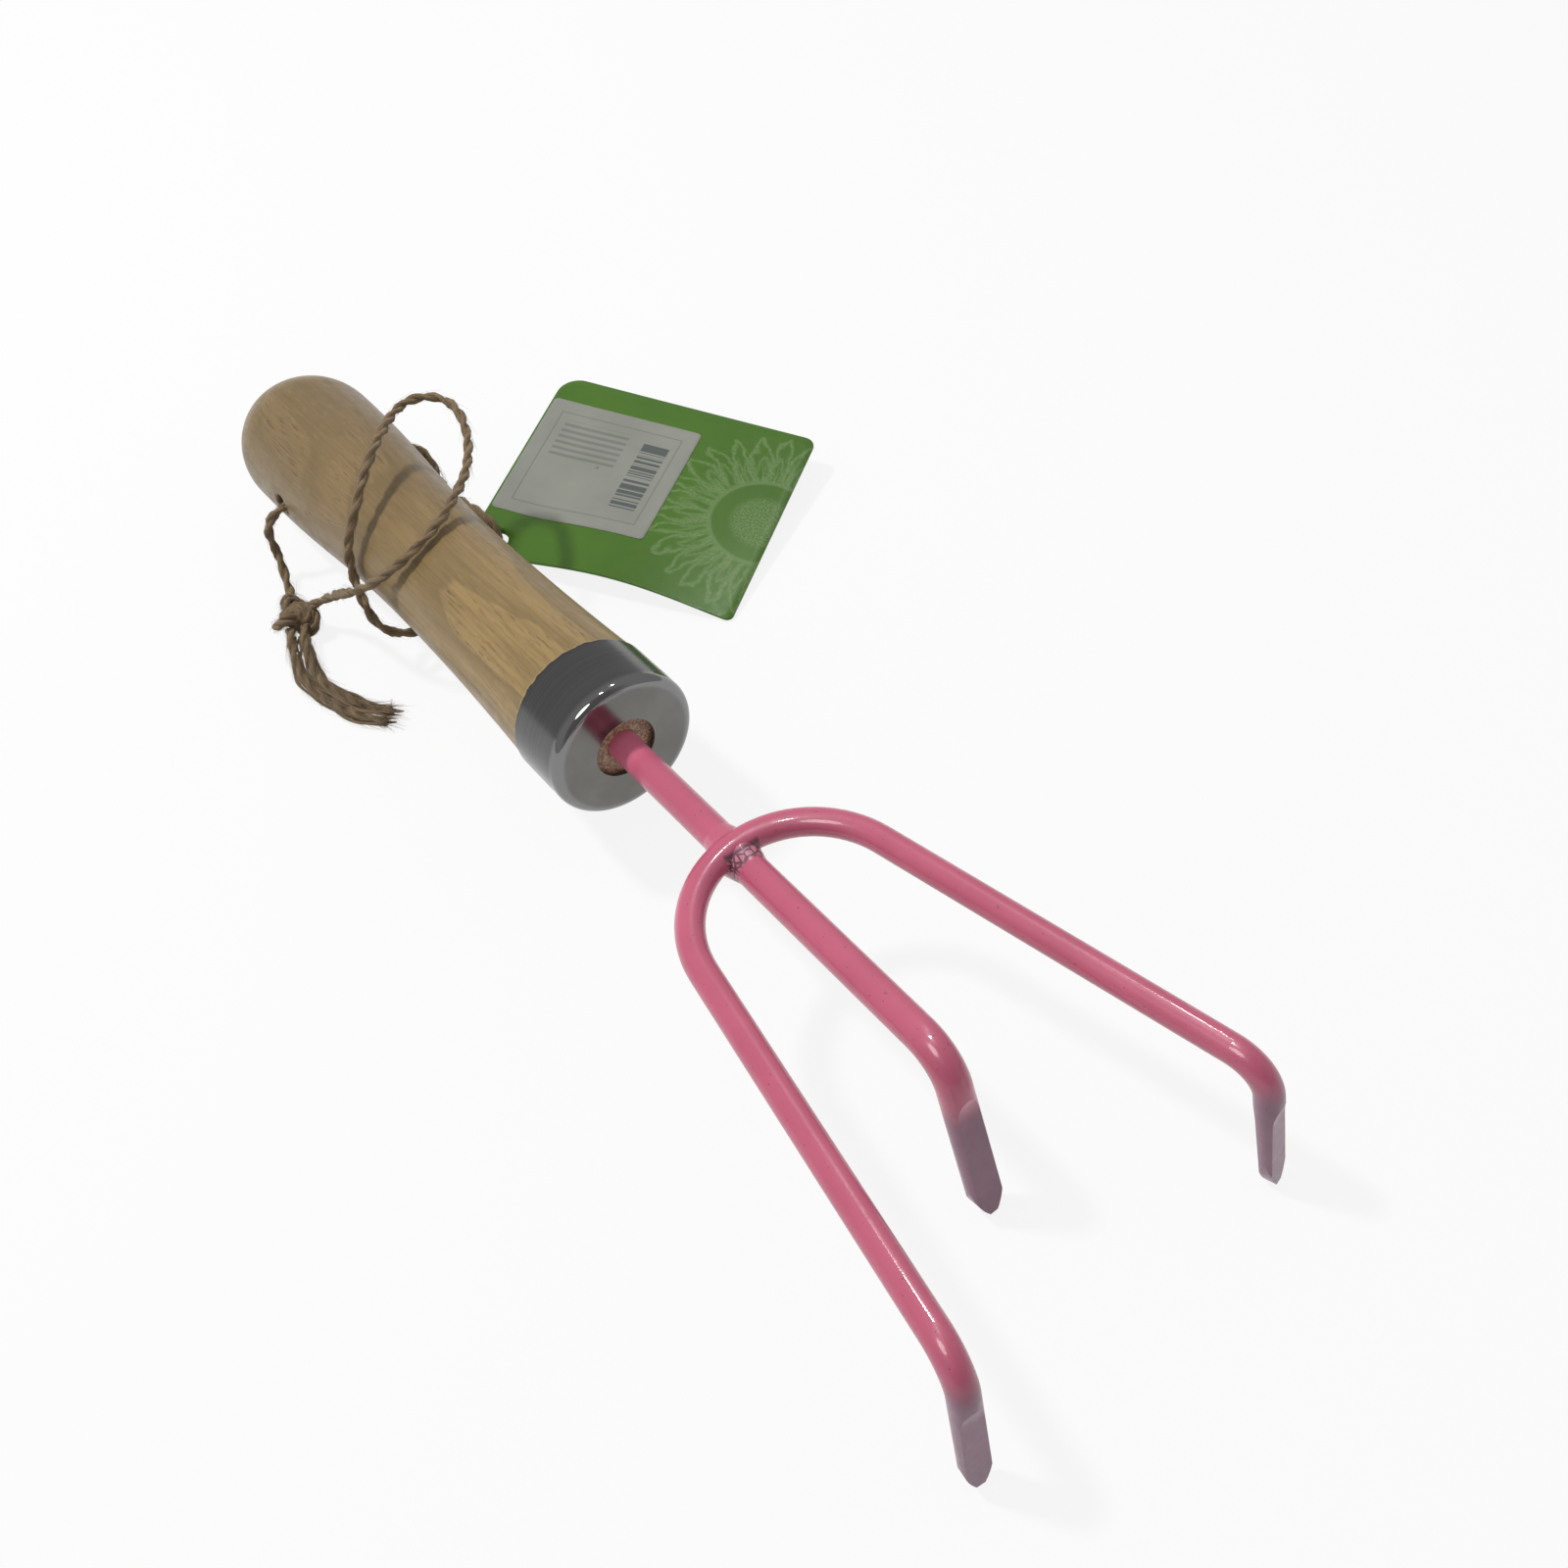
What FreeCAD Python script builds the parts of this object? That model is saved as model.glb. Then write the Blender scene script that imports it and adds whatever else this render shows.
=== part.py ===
"""Three-pronged hand cultivator with a turned wooden handle, a twine hang loop and a swing tag.

Millimetres. The tool is drawn along +X with its origin at the middle of the ferrule's front face
and then laid down as it rests: on its two outer points and on the rounded butt of the handle,
with +Z up and the origin at the middle of the tool's footprint.
"""
import FreeCAD, Part
import math
import os
import Sketcher

V = FreeCAD.Vector
X_AXIS = V(1, 0, 0)
Y_AXIS = V(0, 1, 0)
Z_AXIS = V(0, 0, 1)

doc = FreeCAD.newDocument("hand_cultivator")
sheet = doc.addObject("Spreadsheet::Sheet", "dims")
size = {}


def cell(name, value):
    """Put one named size in the sheet and keep its number for the sketches' first guess."""
    row = len(size) + 1
    sheet.set(f"A{row}", name)
    sheet.set(f"B{row}", repr(round(float(value), 6)))
    sheet.setAlias(f"B{row}", name)
    size[name] = float(value)
    return float(value)


# ---------------------------------------------------------------- driving sizes
# ferrule: a drawn cup with an open front flange
ferrule_radius = cell("ferrule_radius", 17.2)
ferrule_length = cell("ferrule_length", 16.3)
ferrule_wall = cell("ferrule_wall", 1.0)
ferrule_corner = cell("ferrule_corner", 2.1)
ferrule_opening = cell("ferrule_opening", 7.2)

# handle: turned ash, narrow at the waist, round at the butt
handle_length = cell("handle_length", 167.6)
waist_inset = cell("waist_inset", 2.2)
butt_swell = cell("butt_swell", 3.15)
waist_station = cell("waist_station", 75.0)
shoulder_step = cell("shoulder_step", 0.4)
spigot_clearance = cell("spigot_clearance", 0.05)
spigot_setback = cell("spigot_setback", 1.5)
cross_hole_radius = cell("cross_hole_radius", 2.6)
cross_hole_station = cell("cross_hole_station", 132.0)
cross_hole_rounding = cell("cross_hole_rounding", 0.8)

# shank: round bar driven into the handle
shank_radius = cell("shank_radius", 3.5)
tang_length = cell("tang_length", 70.0)
tang_clearance = cell("tang_clearance", 0.05)
tang_point = cell("tang_point", 1.2)

# outer fork: one round bar bent to a U, then both ends bent down and flattened
outer_radius = cell("outer_radius", 3.0)
apex_station = cell("apex_station", 39.8)
apex_rise = cell("apex_rise", 2.3)
apex_bend_radius = cell("apex_bend_radius", 23.0)
splay_angle = cell("splay_angle", 10.8)
fork_pitch = cell("fork_pitch", 5.5)
fork_yaw = cell("fork_yaw", 3.1)
outer_leg = cell("outer_leg", 78.7)
outer_bend_radius = cell("outer_bend_radius", 9.3)
outer_bend_angle = cell("outer_bend_angle", 77.8)
outer_blade = cell("outer_blade", 27.7)

# centre tine: a straight bar, bent down once
centre_radius = cell("centre_radius", 3.5)
centre_bend_station = cell("centre_bend_station", 96.5)
centre_bend_radius = cell("centre_bend_radius", 9.3)
centre_bend_angle = cell("centre_bend_angle", 76.0)
centre_blade = cell("centre_blade", 33.4)

# forged points, the same on every tine
blade_start = cell("blade_start", 0.5)
outer_half_thickness = cell("outer_half_thickness", 1.8)
outer_tip_half_thickness = cell("outer_tip_half_thickness", 1.25)
centre_half_thickness = cell("centre_half_thickness", 2.4)
centre_tip_half_thickness = cell("centre_tip_half_thickness", 1.7)
tip_half_width = cell("tip_half_width", 0.9)
scoop_radius = cell("scoop_radius", 14.0)
point_length = cell("point_length", 8.0)

# welds between the shank, the fork and the centre tine
root_gap = cell("root_gap", 0.1)
weld_leg = cell("weld_leg", 3.0)
weld_spread = cell("weld_spread", 1.6)

# jute twine, its knot, and the printed swing tag with its price label
twine_radius = cell("twine_radius", 1.25)
knot_radius_x = cell("knot_radius_x", 6.0)
knot_radius_y = cell("knot_radius_y", 5.2)
knot_radius_z = cell("knot_radius_z", 4.6)
tag_length = cell("tag_length", 74.0)
tag_width = cell("tag_width", 64.0)
tag_thickness = cell("tag_thickness", 0.8)
tag_corner = cell("tag_corner", 6.0)
tag_hole_radius = cell("tag_hole_radius", 2.6)
tag_hole_in = cell("tag_hole_in", 7.5)
tag_hole_up = cell("tag_hole_up", 5.0)
tag_turn = cell("tag_turn", 31.7)
tag_fall = cell("tag_fall", 6.84)
tag_climb = cell("tag_climb", 4.08)
label_length = cell("label_length", 43.5)
label_width = cell("label_width", 41.0)
label_thickness = cell("label_thickness", 0.15)
label_corner = cell("label_corner", 1.2)
label_in = cell("label_in", 0.6)
label_up = cell("label_up", 14.6)

# ---------------------------------------------------------------- sizes that follow from them
spigot_radius = cell("spigot_radius", ferrule_radius - ferrule_wall - spigot_clearance)
shoulder_radius = cell("shoulder_radius", ferrule_radius - shoulder_step)
waist_radius = cell("waist_radius", ferrule_radius - waist_inset)
butt_radius = cell("butt_radius", waist_radius + butt_swell)
butt_station = cell("butt_station", handle_length - butt_radius)
swell_station = cell("swell_station", (waist_station + butt_station) / 2)
swell_radius = cell("swell_radius", (waist_radius + butt_radius) / 2)
front_arc = cell(
    "front_arc",
    ((waist_station - ferrule_length) ** 2 + (shoulder_radius - waist_radius) ** 2)
    / (2 * (shoulder_radius - waist_radius)),
)
swell_arc = cell(
    "swell_arc",
    ((swell_station - waist_station) ** 2 + (swell_radius - waist_radius) ** 2)
    / (2 * (swell_radius - waist_radius)),
)
tang_bore = cell("tang_bore", shank_radius + tang_clearance)
tang_bore_depth = cell("tang_bore_depth", tang_length + 1.0)
shank_front = cell("shank_front", apex_station - outer_radius - root_gap)
centre_start = cell("centre_start", apex_station + outer_radius + root_gap)
centre_leg = cell("centre_leg", centre_bend_station - centre_start)
apex_sweep = cell("apex_sweep", 180 - 2 * splay_angle)


# ---------------------------------------------------------------- sketch helpers
def bind(item, prop, expression):
    item.setExpression(prop, expression)


def new_body(name):
    return doc.addObject("PartDesign::Body", name)


def plane_of(body, role):
    return next(f for f in body.Origin.OriginFeatures if f.Role == role)


def new_sketch(body, name, role):
    sketch = body.newObject("Sketcher::SketchObject", name)
    sketch.AttachmentSupport = [(plane_of(body, role), "")]
    sketch.MapMode = "FlatFace"
    return sketch


def number(term):
    """The number of a signed cell name, such as '-outer_blade'; 0 stands for itself."""
    if term == 0:
        return 0.0
    return -size[term[1:]] if term.startswith("-") else size[term]


def pin_one(sketch, kind, axis, geo, pos, term):
    """Hold one coordinate of a sketch point at a signed cell, measured from the origin."""
    if term == 0:
        sketch.addConstraint(Sketcher.Constraint("PointOnObject", geo, pos, axis))
        return
    value = number(term)
    if value < 0:
        index = sketch.addConstraint(Sketcher.Constraint(kind, geo, pos, -1, 1, -value))
    else:
        index = sketch.addConstraint(Sketcher.Constraint(kind, -1, 1, geo, pos, value))
    bind(sketch, f"Constraints[{index}]", f"<<dims>>.{term.lstrip('-')}")


def pin(sketch, geo, pos, point):
    pin_one(sketch, "DistanceX", -2, geo, pos, point[0])
    pin_one(sketch, "DistanceY", -1, geo, pos, point[1])


def at(point):
    return V(number(point[0]), number(point[1]), 0)


def add_line(sketch, start, end):
    return sketch.addGeometry(Part.LineSegment(at(start), at(end)), False)


def add_arc(sketch, centre, radius, start_angle, end_angle):
    """Counter-clockwise arc; angles in degrees."""
    circle = Part.Circle(centre, Z_AXIS, radius)
    arc = Part.ArcOfCircle(circle, math.radians(start_angle), math.radians(end_angle))
    return sketch.addGeometry(arc, False)


def hold_radius(sketch, geo, name):
    index = sketch.addConstraint(Sketcher.Constraint("Radius", geo, size[name]))
    bind(sketch, f"Constraints[{index}]", f"<<dims>>.{name}")


def join(sketch, geo_a, pos_a, geo_b, pos_b):
    sketch.addConstraint(Sketcher.Constraint("Coincident", geo_a, pos_a, geo_b, pos_b))


def add_outline(sketch, corners):
    """Closed straight-sided outline through named corners."""
    count = len(corners)
    first = [add_line(sketch, corners[i], corners[(i + 1) % count]) for i in range(count)]
    for i in range(count):
        join(sketch, first[i], 2, first[(i + 1) % count], 1)
        pin(sketch, first[i], 1, corners[i])


def add_circle(sketch, centre, radius_name):
    geo = sketch.addGeometry(Part.Circle(at(centre), Z_AXIS, size[radius_name]), False)
    pin(sketch, geo, 3, centre)
    hold_radius(sketch, geo, radius_name)
    return geo


def revolve(body, sketch, name, cut=False):
    kind = "PartDesign::Groove" if cut else "PartDesign::Revolution"
    feature = body.newObject(kind, name)
    feature.Profile = sketch
    feature.ReferenceAxis = (sketch, ["H_Axis"])
    feature.Angle = 360
    return feature


def cut_through(body, sketch, name):
    """Pocket through everything on both sides of its sketch."""
    pocket = body.newObject("PartDesign::Pocket", name)
    pocket.Profile = sketch
    pocket.Type = "ThroughAll"
    pocket.Midplane = True
    return pocket


def edges_near(shape, test):
    return [f"Edge{i + 1}" for i, edge in enumerate(shape.Edges) if test(edge)]


def round_edges(body, base, name, edges, radius_name, kind="PartDesign::Fillet"):
    feature = body.newObject(kind, name)
    feature.Base = (base, edges)
    prop = "Radius" if kind.endswith("Fillet") else "Size"
    bind(feature, prop, f"<<dims>>.{radius_name}")
    return feature


# ---------------------------------------------------------------- handle
# Drawn with x running back from the ferrule's face, so that every station is positive.
handle = new_body("handle")
outline = new_sketch(handle, "handle_outline", "XZ_Plane")
front = ("spigot_setback", 0)
spigot_front = ("spigot_setback", "spigot_radius")
spigot_back = ("ferrule_length", "spigot_radius")
shoulder = ("ferrule_length", "shoulder_radius")
waist = ("waist_station", "waist_radius")
swell = ("swell_station", "swell_radius")
belly = ("butt_station", "butt_radius")
butt = ("handle_length", 0)

axis_line = add_line(outline, butt, front)
front_line = add_line(outline, front, spigot_front)
spigot_line = add_line(outline, spigot_front, spigot_back)
step_line = add_line(outline, spigot_back, shoulder)


def lean(run, radius):
    """Angle that an arc of this radius turns over a run along the axis."""
    return math.degrees(math.asin(run / radius))


front_lean = lean(waist_station - ferrule_length, front_arc)
swell_lean = lean(swell_station - waist_station, swell_arc)
waist_front = add_arc(
    outline, V(waist_station, waist_radius + front_arc, 0), front_arc, 270 - front_lean, 270
)
waist_back = add_arc(
    outline, V(waist_station, waist_radius + swell_arc, 0), swell_arc, 270, 270 + swell_lean
)
belly_arc = add_arc(
    outline, V(butt_station, butt_radius - swell_arc, 0), swell_arc, 90, 90 + swell_lean
)
butt_arc = add_arc(outline, V(butt_station, 0, 0), butt_radius, 0, 90)

join(outline, axis_line, 2, front_line, 1)
join(outline, front_line, 2, spigot_line, 1)
join(outline, spigot_line, 2, step_line, 1)
join(outline, step_line, 2, waist_front, 1)
join(outline, waist_front, 2, waist_back, 1)
join(outline, waist_back, 2, belly_arc, 2)
join(outline, belly_arc, 1, butt_arc, 2)
join(outline, butt_arc, 1, axis_line, 1)
for geo, pos, point in (
    (axis_line, 1, butt),
    (axis_line, 2, front),
    (spigot_line, 1, spigot_front),
    (spigot_line, 2, spigot_back),
    (step_line, 2, shoulder),
    (waist_front, 2, waist),
    (waist_back, 2, swell),
    (belly_arc, 1, belly),
):
    pin(outline, geo, pos, point)
for geo, name in (
    (waist_front, "front_arc"),
    (waist_back, "swell_arc"),
    (belly_arc, "swell_arc"),
    (butt_arc, "butt_radius"),
):
    hold_radius(outline, geo, name)
turned = revolve(handle, outline, "turned_handle")

bore_outline = new_sketch(handle, "tang_bore_outline", "XZ_Plane")
add_outline(
    bore_outline,
    [(0, 0), ("tang_bore_depth", 0), ("tang_bore_depth", "tang_bore"), (0, "tang_bore")],
)
bored = revolve(handle, bore_outline, "tang_bore_cut", cut=True)

hole_sketch = new_sketch(handle, "cross_hole_circle", "XZ_Plane")
add_circle(hole_sketch, ("cross_hole_station", 0), "cross_hole_radius")
drilled = cut_through(handle, hole_sketch, "cross_hole")
doc.recompute()


def is_cross_hole_mouth(edge):
    box = edge.BoundBox
    middle = box.Center
    near = abs(middle.x - cross_hole_station) < 0.5 and abs(middle.z) < 0.5
    return near and box.XLength > cross_hole_radius and abs(middle.y) > butt_radius / 2


round_edges(
    handle, drilled, "cross_hole_mouths", edges_near(drilled.Shape, is_cross_hole_mouth),
    "cross_hole_rounding",
)

# ---------------------------------------------------------------- ferrule
ferrule = new_body("ferrule")
cell("ferrule_inner_radius", ferrule_radius - ferrule_wall)
cup = new_sketch(ferrule, "ferrule_section", "XZ_Plane")
add_outline(
    cup,
    [
        (0, "ferrule_opening"),
        (0, "ferrule_radius"),
        ("ferrule_length", "ferrule_radius"),
        ("ferrule_length", "ferrule_inner_radius"),
        ("ferrule_wall", "ferrule_inner_radius"),
        ("ferrule_wall", "ferrule_opening"),
    ],
)
drawn = revolve(ferrule, cup, "drawn_cup")
doc.recompute()


def is_front_rim(edge):
    box = edge.BoundBox
    return box.XLength < 0.01 and abs(box.XMin) < 0.01 and box.YLength > 2 * ferrule_radius - 0.1


round_edges(ferrule, drawn, "front_corner", edges_near(drawn.Shape, is_front_rim), "ferrule_corner")

# ---------------------------------------------------------------- shank with its tang
shank = new_body("shank")
shank_circle = new_sketch(shank, "shank_circle", "YZ_Plane")
add_circle(shank_circle, (0, 0), "shank_radius")
front_bar = shank.newObject("PartDesign::Pad", "front_bar")
front_bar.Profile = shank_circle
bind(front_bar, "Length", "<<dims>>.shank_front")
tang = shank.newObject("PartDesign::Pad", "tang")
tang.Profile = shank_circle
tang.Reversed = True
bind(tang, "Length", "<<dims>>.tang_length")
doc.recompute()


def is_tang_end(edge):
    return abs(edge.BoundBox.XMax + tang_length) < 0.01


round_edges(
    shank, tang, "tang_lead", edges_near(tang.Shape, is_tang_end), "tang_point",
    kind="PartDesign::Chamfer",
)


# ---------------------------------------------------------------- tines
def tine(name, prefix, leg_name):
    """One bar with its bent and flattened end, drawn in the frame of its blade.

    The blade starts at the origin and runs down -Z with its wide faces to +X and -X. The bend
    and the straight leg rise behind it in the XZ plane. Returns the body and the leg's start.
    """
    radius = size[f"{prefix}_radius"]
    bend = size[f"{prefix}_bend_radius"]
    turn = math.radians(size[f"{prefix}_bend_angle"])
    blade = size[f"{prefix}_blade"]
    leg = size[leg_name]
    side = cell(f"{prefix}_cut_side", radius + 0.5)
    bottom = cell(f"{prefix}_cut_bottom", blade + 1.0)
    point_top = cell(f"{prefix}_point_top", blade - point_length)
    half_thickness = size[f"{prefix}_half_thickness"]
    scoop_turn = math.acos(1 - (side - half_thickness) / scoop_radius)
    rise = scoop_radius * math.sin(scoop_turn)
    cell(f"{prefix}_scoop_foot", blade_start + rise)
    cell(f"{prefix}_bend_back", bend * (1 - math.cos(turn)))
    cell(f"{prefix}_bend_up", bend * math.sin(turn))
    cell(f"{prefix}_leg_back", bend * (1 - math.cos(turn)) + leg * math.sin(turn))
    cell(f"{prefix}_leg_up", bend * math.sin(turn) + leg * math.cos(turn))

    body = new_body(name)
    circle = new_sketch(body, f"{name}_circle", "XY_Plane")
    add_circle(circle, (0, 0), f"{prefix}_radius")
    straight = body.newObject("PartDesign::Pad", f"{name}_blank")
    straight.Profile = circle
    straight.Reversed = True
    bind(straight, "Length", f"<<dims>>.{prefix}_blade")

    path = new_sketch(body, f"{name}_path", "XZ_Plane")
    bend_arc = add_arc(path, V(-bend, 0, 0), bend, 0, math.degrees(turn))
    bend_top = (f"-{prefix}_bend_back", f"{prefix}_bend_up")
    leg_start = (f"-{prefix}_leg_back", f"{prefix}_leg_up")
    leg_line = add_line(path, bend_top, leg_start)
    join(path, bend_arc, 2, leg_line, 1)
    pin(path, bend_arc, 1, (0, 0))
    pin(path, bend_arc, 2, bend_top)
    hold_radius(path, bend_arc, f"{prefix}_bend_radius")
    pin(path, leg_line, 2, leg_start)
    doc.recompute()
    pipe = body.newObject("PartDesign::AdditivePipe", f"{name}_bend_and_leg")
    pipe.Profile = circle
    pipe.Spine = (path, ["Edge1", "Edge2"])
    doc.recompute()

    flats = new_sketch(body, f"{name}_flats", "XZ_Plane")
    for sign in ("", "-"):
        top = (f"{sign}{prefix}_cut_side", "-blade_start")
        foot = (f"{sign}{prefix}_half_thickness", f"-{prefix}_scoop_foot")
        tip = (f"{sign}{prefix}_tip_half_thickness", f"-{prefix}_cut_bottom")
        corner = (f"{sign}{prefix}_cut_side", f"-{prefix}_cut_bottom")
        middle = half_thickness + scoop_radius
        turn_deg = math.degrees(scoop_turn)
        if sign:
            centre = V(-middle, -size[f"{prefix}_scoop_foot"], 0)
            scoop = add_arc(flats, centre, scoop_radius, 0, turn_deg)
            foot_end, top_end = 1, 2
        else:
            centre = V(middle, -size[f"{prefix}_scoop_foot"], 0)
            scoop = add_arc(flats, centre, scoop_radius, 180 - turn_deg, 180)
            foot_end, top_end = 2, 1
        face = add_line(flats, foot, tip)
        floor = add_line(flats, tip, corner)
        wall = add_line(flats, corner, top)
        join(flats, scoop, foot_end, face, 1)
        join(flats, face, 2, floor, 1)
        join(flats, floor, 2, wall, 1)
        join(flats, wall, 2, scoop, top_end)
        pin(flats, face, 1, foot)
        pin(flats, floor, 1, tip)
        pin(flats, wall, 1, corner)
        pin(flats, wall, 2, top)
        hold_radius(flats, scoop, "scoop_radius")
    cut_through(body, flats, f"{name}_flattening")

    ogive = new_sketch(body, f"{name}_ogive", "YZ_Plane")
    spread = radius - tip_half_width
    ogive_radius = cell(
        f"{prefix}_ogive_radius", (point_length ** 2 + spread ** 2) / (2 * spread)
    )
    cell(f"{prefix}_tip_level", blade)
    swing = math.degrees(math.asin(point_length / ogive_radius))
    for sign in (1, -1):
        mark = "" if sign > 0 else "-"
        top = (f"{mark}{prefix}_radius", f"-{prefix}_point_top")
        tip = (f"{mark}tip_half_width", f"-{prefix}_tip_level")
        low = (f"{mark}tip_half_width", f"-{prefix}_cut_bottom")
        corner = (f"{mark}{prefix}_cut_side", f"-{prefix}_cut_bottom")
        shelf = (f"{mark}{prefix}_cut_side", f"-{prefix}_point_top")
        centre = V(sign * (radius - ogive_radius), -point_top, 0)
        if sign > 0:
            curve = add_arc(ogive, centre, ogive_radius, -swing, 0)
            tip_end, top_end = 1, 2
        else:
            curve = add_arc(ogive, centre, ogive_radius, 180, 180 + swing)
            tip_end, top_end = 2, 1
        drop = add_line(ogive, tip, low)
        floor = add_line(ogive, low, corner)
        wall = add_line(ogive, corner, shelf)
        lid = add_line(ogive, shelf, top)
        join(ogive, curve, tip_end, drop, 1)
        join(ogive, drop, 2, floor, 1)
        join(ogive, floor, 2, wall, 1)
        join(ogive, wall, 2, lid, 1)
        join(ogive, lid, 2, curve, top_end)
        pin(ogive, drop, 1, tip)
        pin(ogive, floor, 1, low)
        pin(ogive, wall, 1, corner)
        pin(ogive, lid, 1, shelf)
        pin(ogive, lid, 2, top)
        hold_radius(ogive, curve, f"{prefix}_ogive_radius")
    cut_through(body, ogive, f"{name}_pointing")
    return body, V(-size[f"{prefix}_leg_back"], 0, size[f"{prefix}_leg_up"])


def along_leg(prefix, leg_start):
    """Placement that lays a tine with its leg's start at the origin and its leg along +X."""
    turn = FreeCAD.Rotation(Y_AXIS, size[f"{prefix}_bend_angle"] - 90)
    return FreeCAD.Placement(V(), turn) * FreeCAD.Placement(-leg_start, FreeCAD.Rotation())


centre_tine, centre_leg_start = tine("centre_tine", "centre", "centre_leg")
left_leg, outer_leg_start = tine("left_leg", "outer", "outer_leg")

# ---------------------------------------------------------------- outer fork
# In the fork's own frame the U's apex is at the origin and the legs run towards +X.
splay = math.radians(splay_angle)
leg_root = V(
    apex_bend_radius * (1 - math.sin(splay)),
    apex_bend_radius * math.cos(splay),
    0,
)
left_leg.Placement = (
    FreeCAD.Placement(leg_root, FreeCAD.Rotation(Z_AXIS, splay_angle))
    * along_leg("outer", outer_leg_start)
)
right_leg = doc.addObject("Part::Mirroring", "right_leg")
right_leg.Source = left_leg
right_leg.Normal = Y_AXIS

apex = doc.addObject("Part::Torus", "apex")
bind(apex, "Radius1", "<<dims>>.apex_bend_radius")
bind(apex, "Radius2", "<<dims>>.outer_radius")
bind(apex, "Angle3", "<<dims>>.apex_sweep")
apex.Placement = FreeCAD.Placement(
    V(apex_bend_radius, 0, 0), FreeCAD.Rotation(Z_AXIS, 90 + splay_angle)
)
outer_tine_fork = doc.addObject("Part::MultiFuse", "outer_tine_fork")
outer_tine_fork.Shapes = [left_leg, apex, right_leg]
outer_tine_fork.Refine = True
doc.recompute()

# ---------------------------------------------------------------- laying the tool down
fork_in_tool = FreeCAD.Placement(
    V(apex_station, 0, apex_rise),
    FreeCAD.Rotation(Z_AXIS, fork_yaw) * FreeCAD.Rotation(Y_AXIS, fork_pitch),
)
centre_in_tool = FreeCAD.Placement(V(centre_start, 0, 0), FreeCAD.Rotation()) * along_leg(
    "centre", centre_leg_start
)
handle_in_tool = FreeCAD.Placement(V(), FreeCAD.Rotation(Z_AXIS, 180))

# The lower edge of the outer point and the round butt set how far the tool's nose rises.
point_edges = [
    fork_in_tool.multVec(left_leg.Placement.multVec(V(edge, 0, -outer_blade)))
    for edge in (outer_tip_half_thickness, -outer_tip_half_thickness)
]
point = min(point_edges, key=lambda edge: edge.z)
reach = point.x + butt_station
drop = -point.z
nose_rise = math.degrees(
    math.atan2(drop, reach) - math.asin(butt_radius / math.hypot(reach, drop))
)
tilt = FreeCAD.Placement(V(), FreeCAD.Rotation(Y_AXIS, -nose_rise))

footprint = FreeCAD.BoundBox()
for piece, placement in ((handle, handle_in_tool), (outer_tine_fork, fork_in_tool)):
    laid = piece.Shape.copy()
    laid.Placement = tilt * placement
    footprint.add(laid.optimalBoundingBox(True, False))
rest = FreeCAD.Placement(
    V(-footprint.Center.x, -footprint.Center.y, -footprint.ZMin), FreeCAD.Rotation()
) * tilt
handle.Placement = rest * handle_in_tool
ferrule.Placement = rest * handle_in_tool
shank.Placement = rest
centre_tine.Placement = rest * centre_in_tool
outer_tine_fork.Placement = rest * fork_in_tool
doc.recompute()

# ---------------------------------------------------------------- welds
# Each bead flares from its bar to the crown of the fork and is cut to fit the bars it joins.
cell("weld_base_radius", shank_radius + weld_spread)
weld_reach = cell("weld_reach", weld_leg + outer_radius)


def weld_bead(name, bar, foot_station, direction):
    """Cone from a bar's skin up to the middle of the fork's crown, less every bar inside it."""
    flare = doc.addObject("Part::Cone", f"{name}_flare")
    bind(flare, "Radius1", "<<dims>>.shank_radius")
    bind(flare, "Radius2", "<<dims>>.weld_base_radius")
    bind(flare, "Height", "<<dims>>.weld_reach")
    flare.Placement = (
        rest
        * FreeCAD.Placement(V(foot_station, 0, 0), FreeCAD.Rotation(Z_AXIS, V(direction, 0, 0)))
    )
    bars = doc.addObject("Part::MultiFuse", f"{name}_bars")
    bars.Shapes = [bar, outer_tine_fork]
    bead = doc.addObject("Part::Cut", name)
    bead.Base = flare
    bead.Tool = bars
    return bead


weld_bead_rear = weld_bead("weld_bead_rear", shank, apex_station - weld_reach, 1)
weld_bead_front = weld_bead("weld_bead_front", centre_tine, apex_station + weld_reach, -1)

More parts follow.
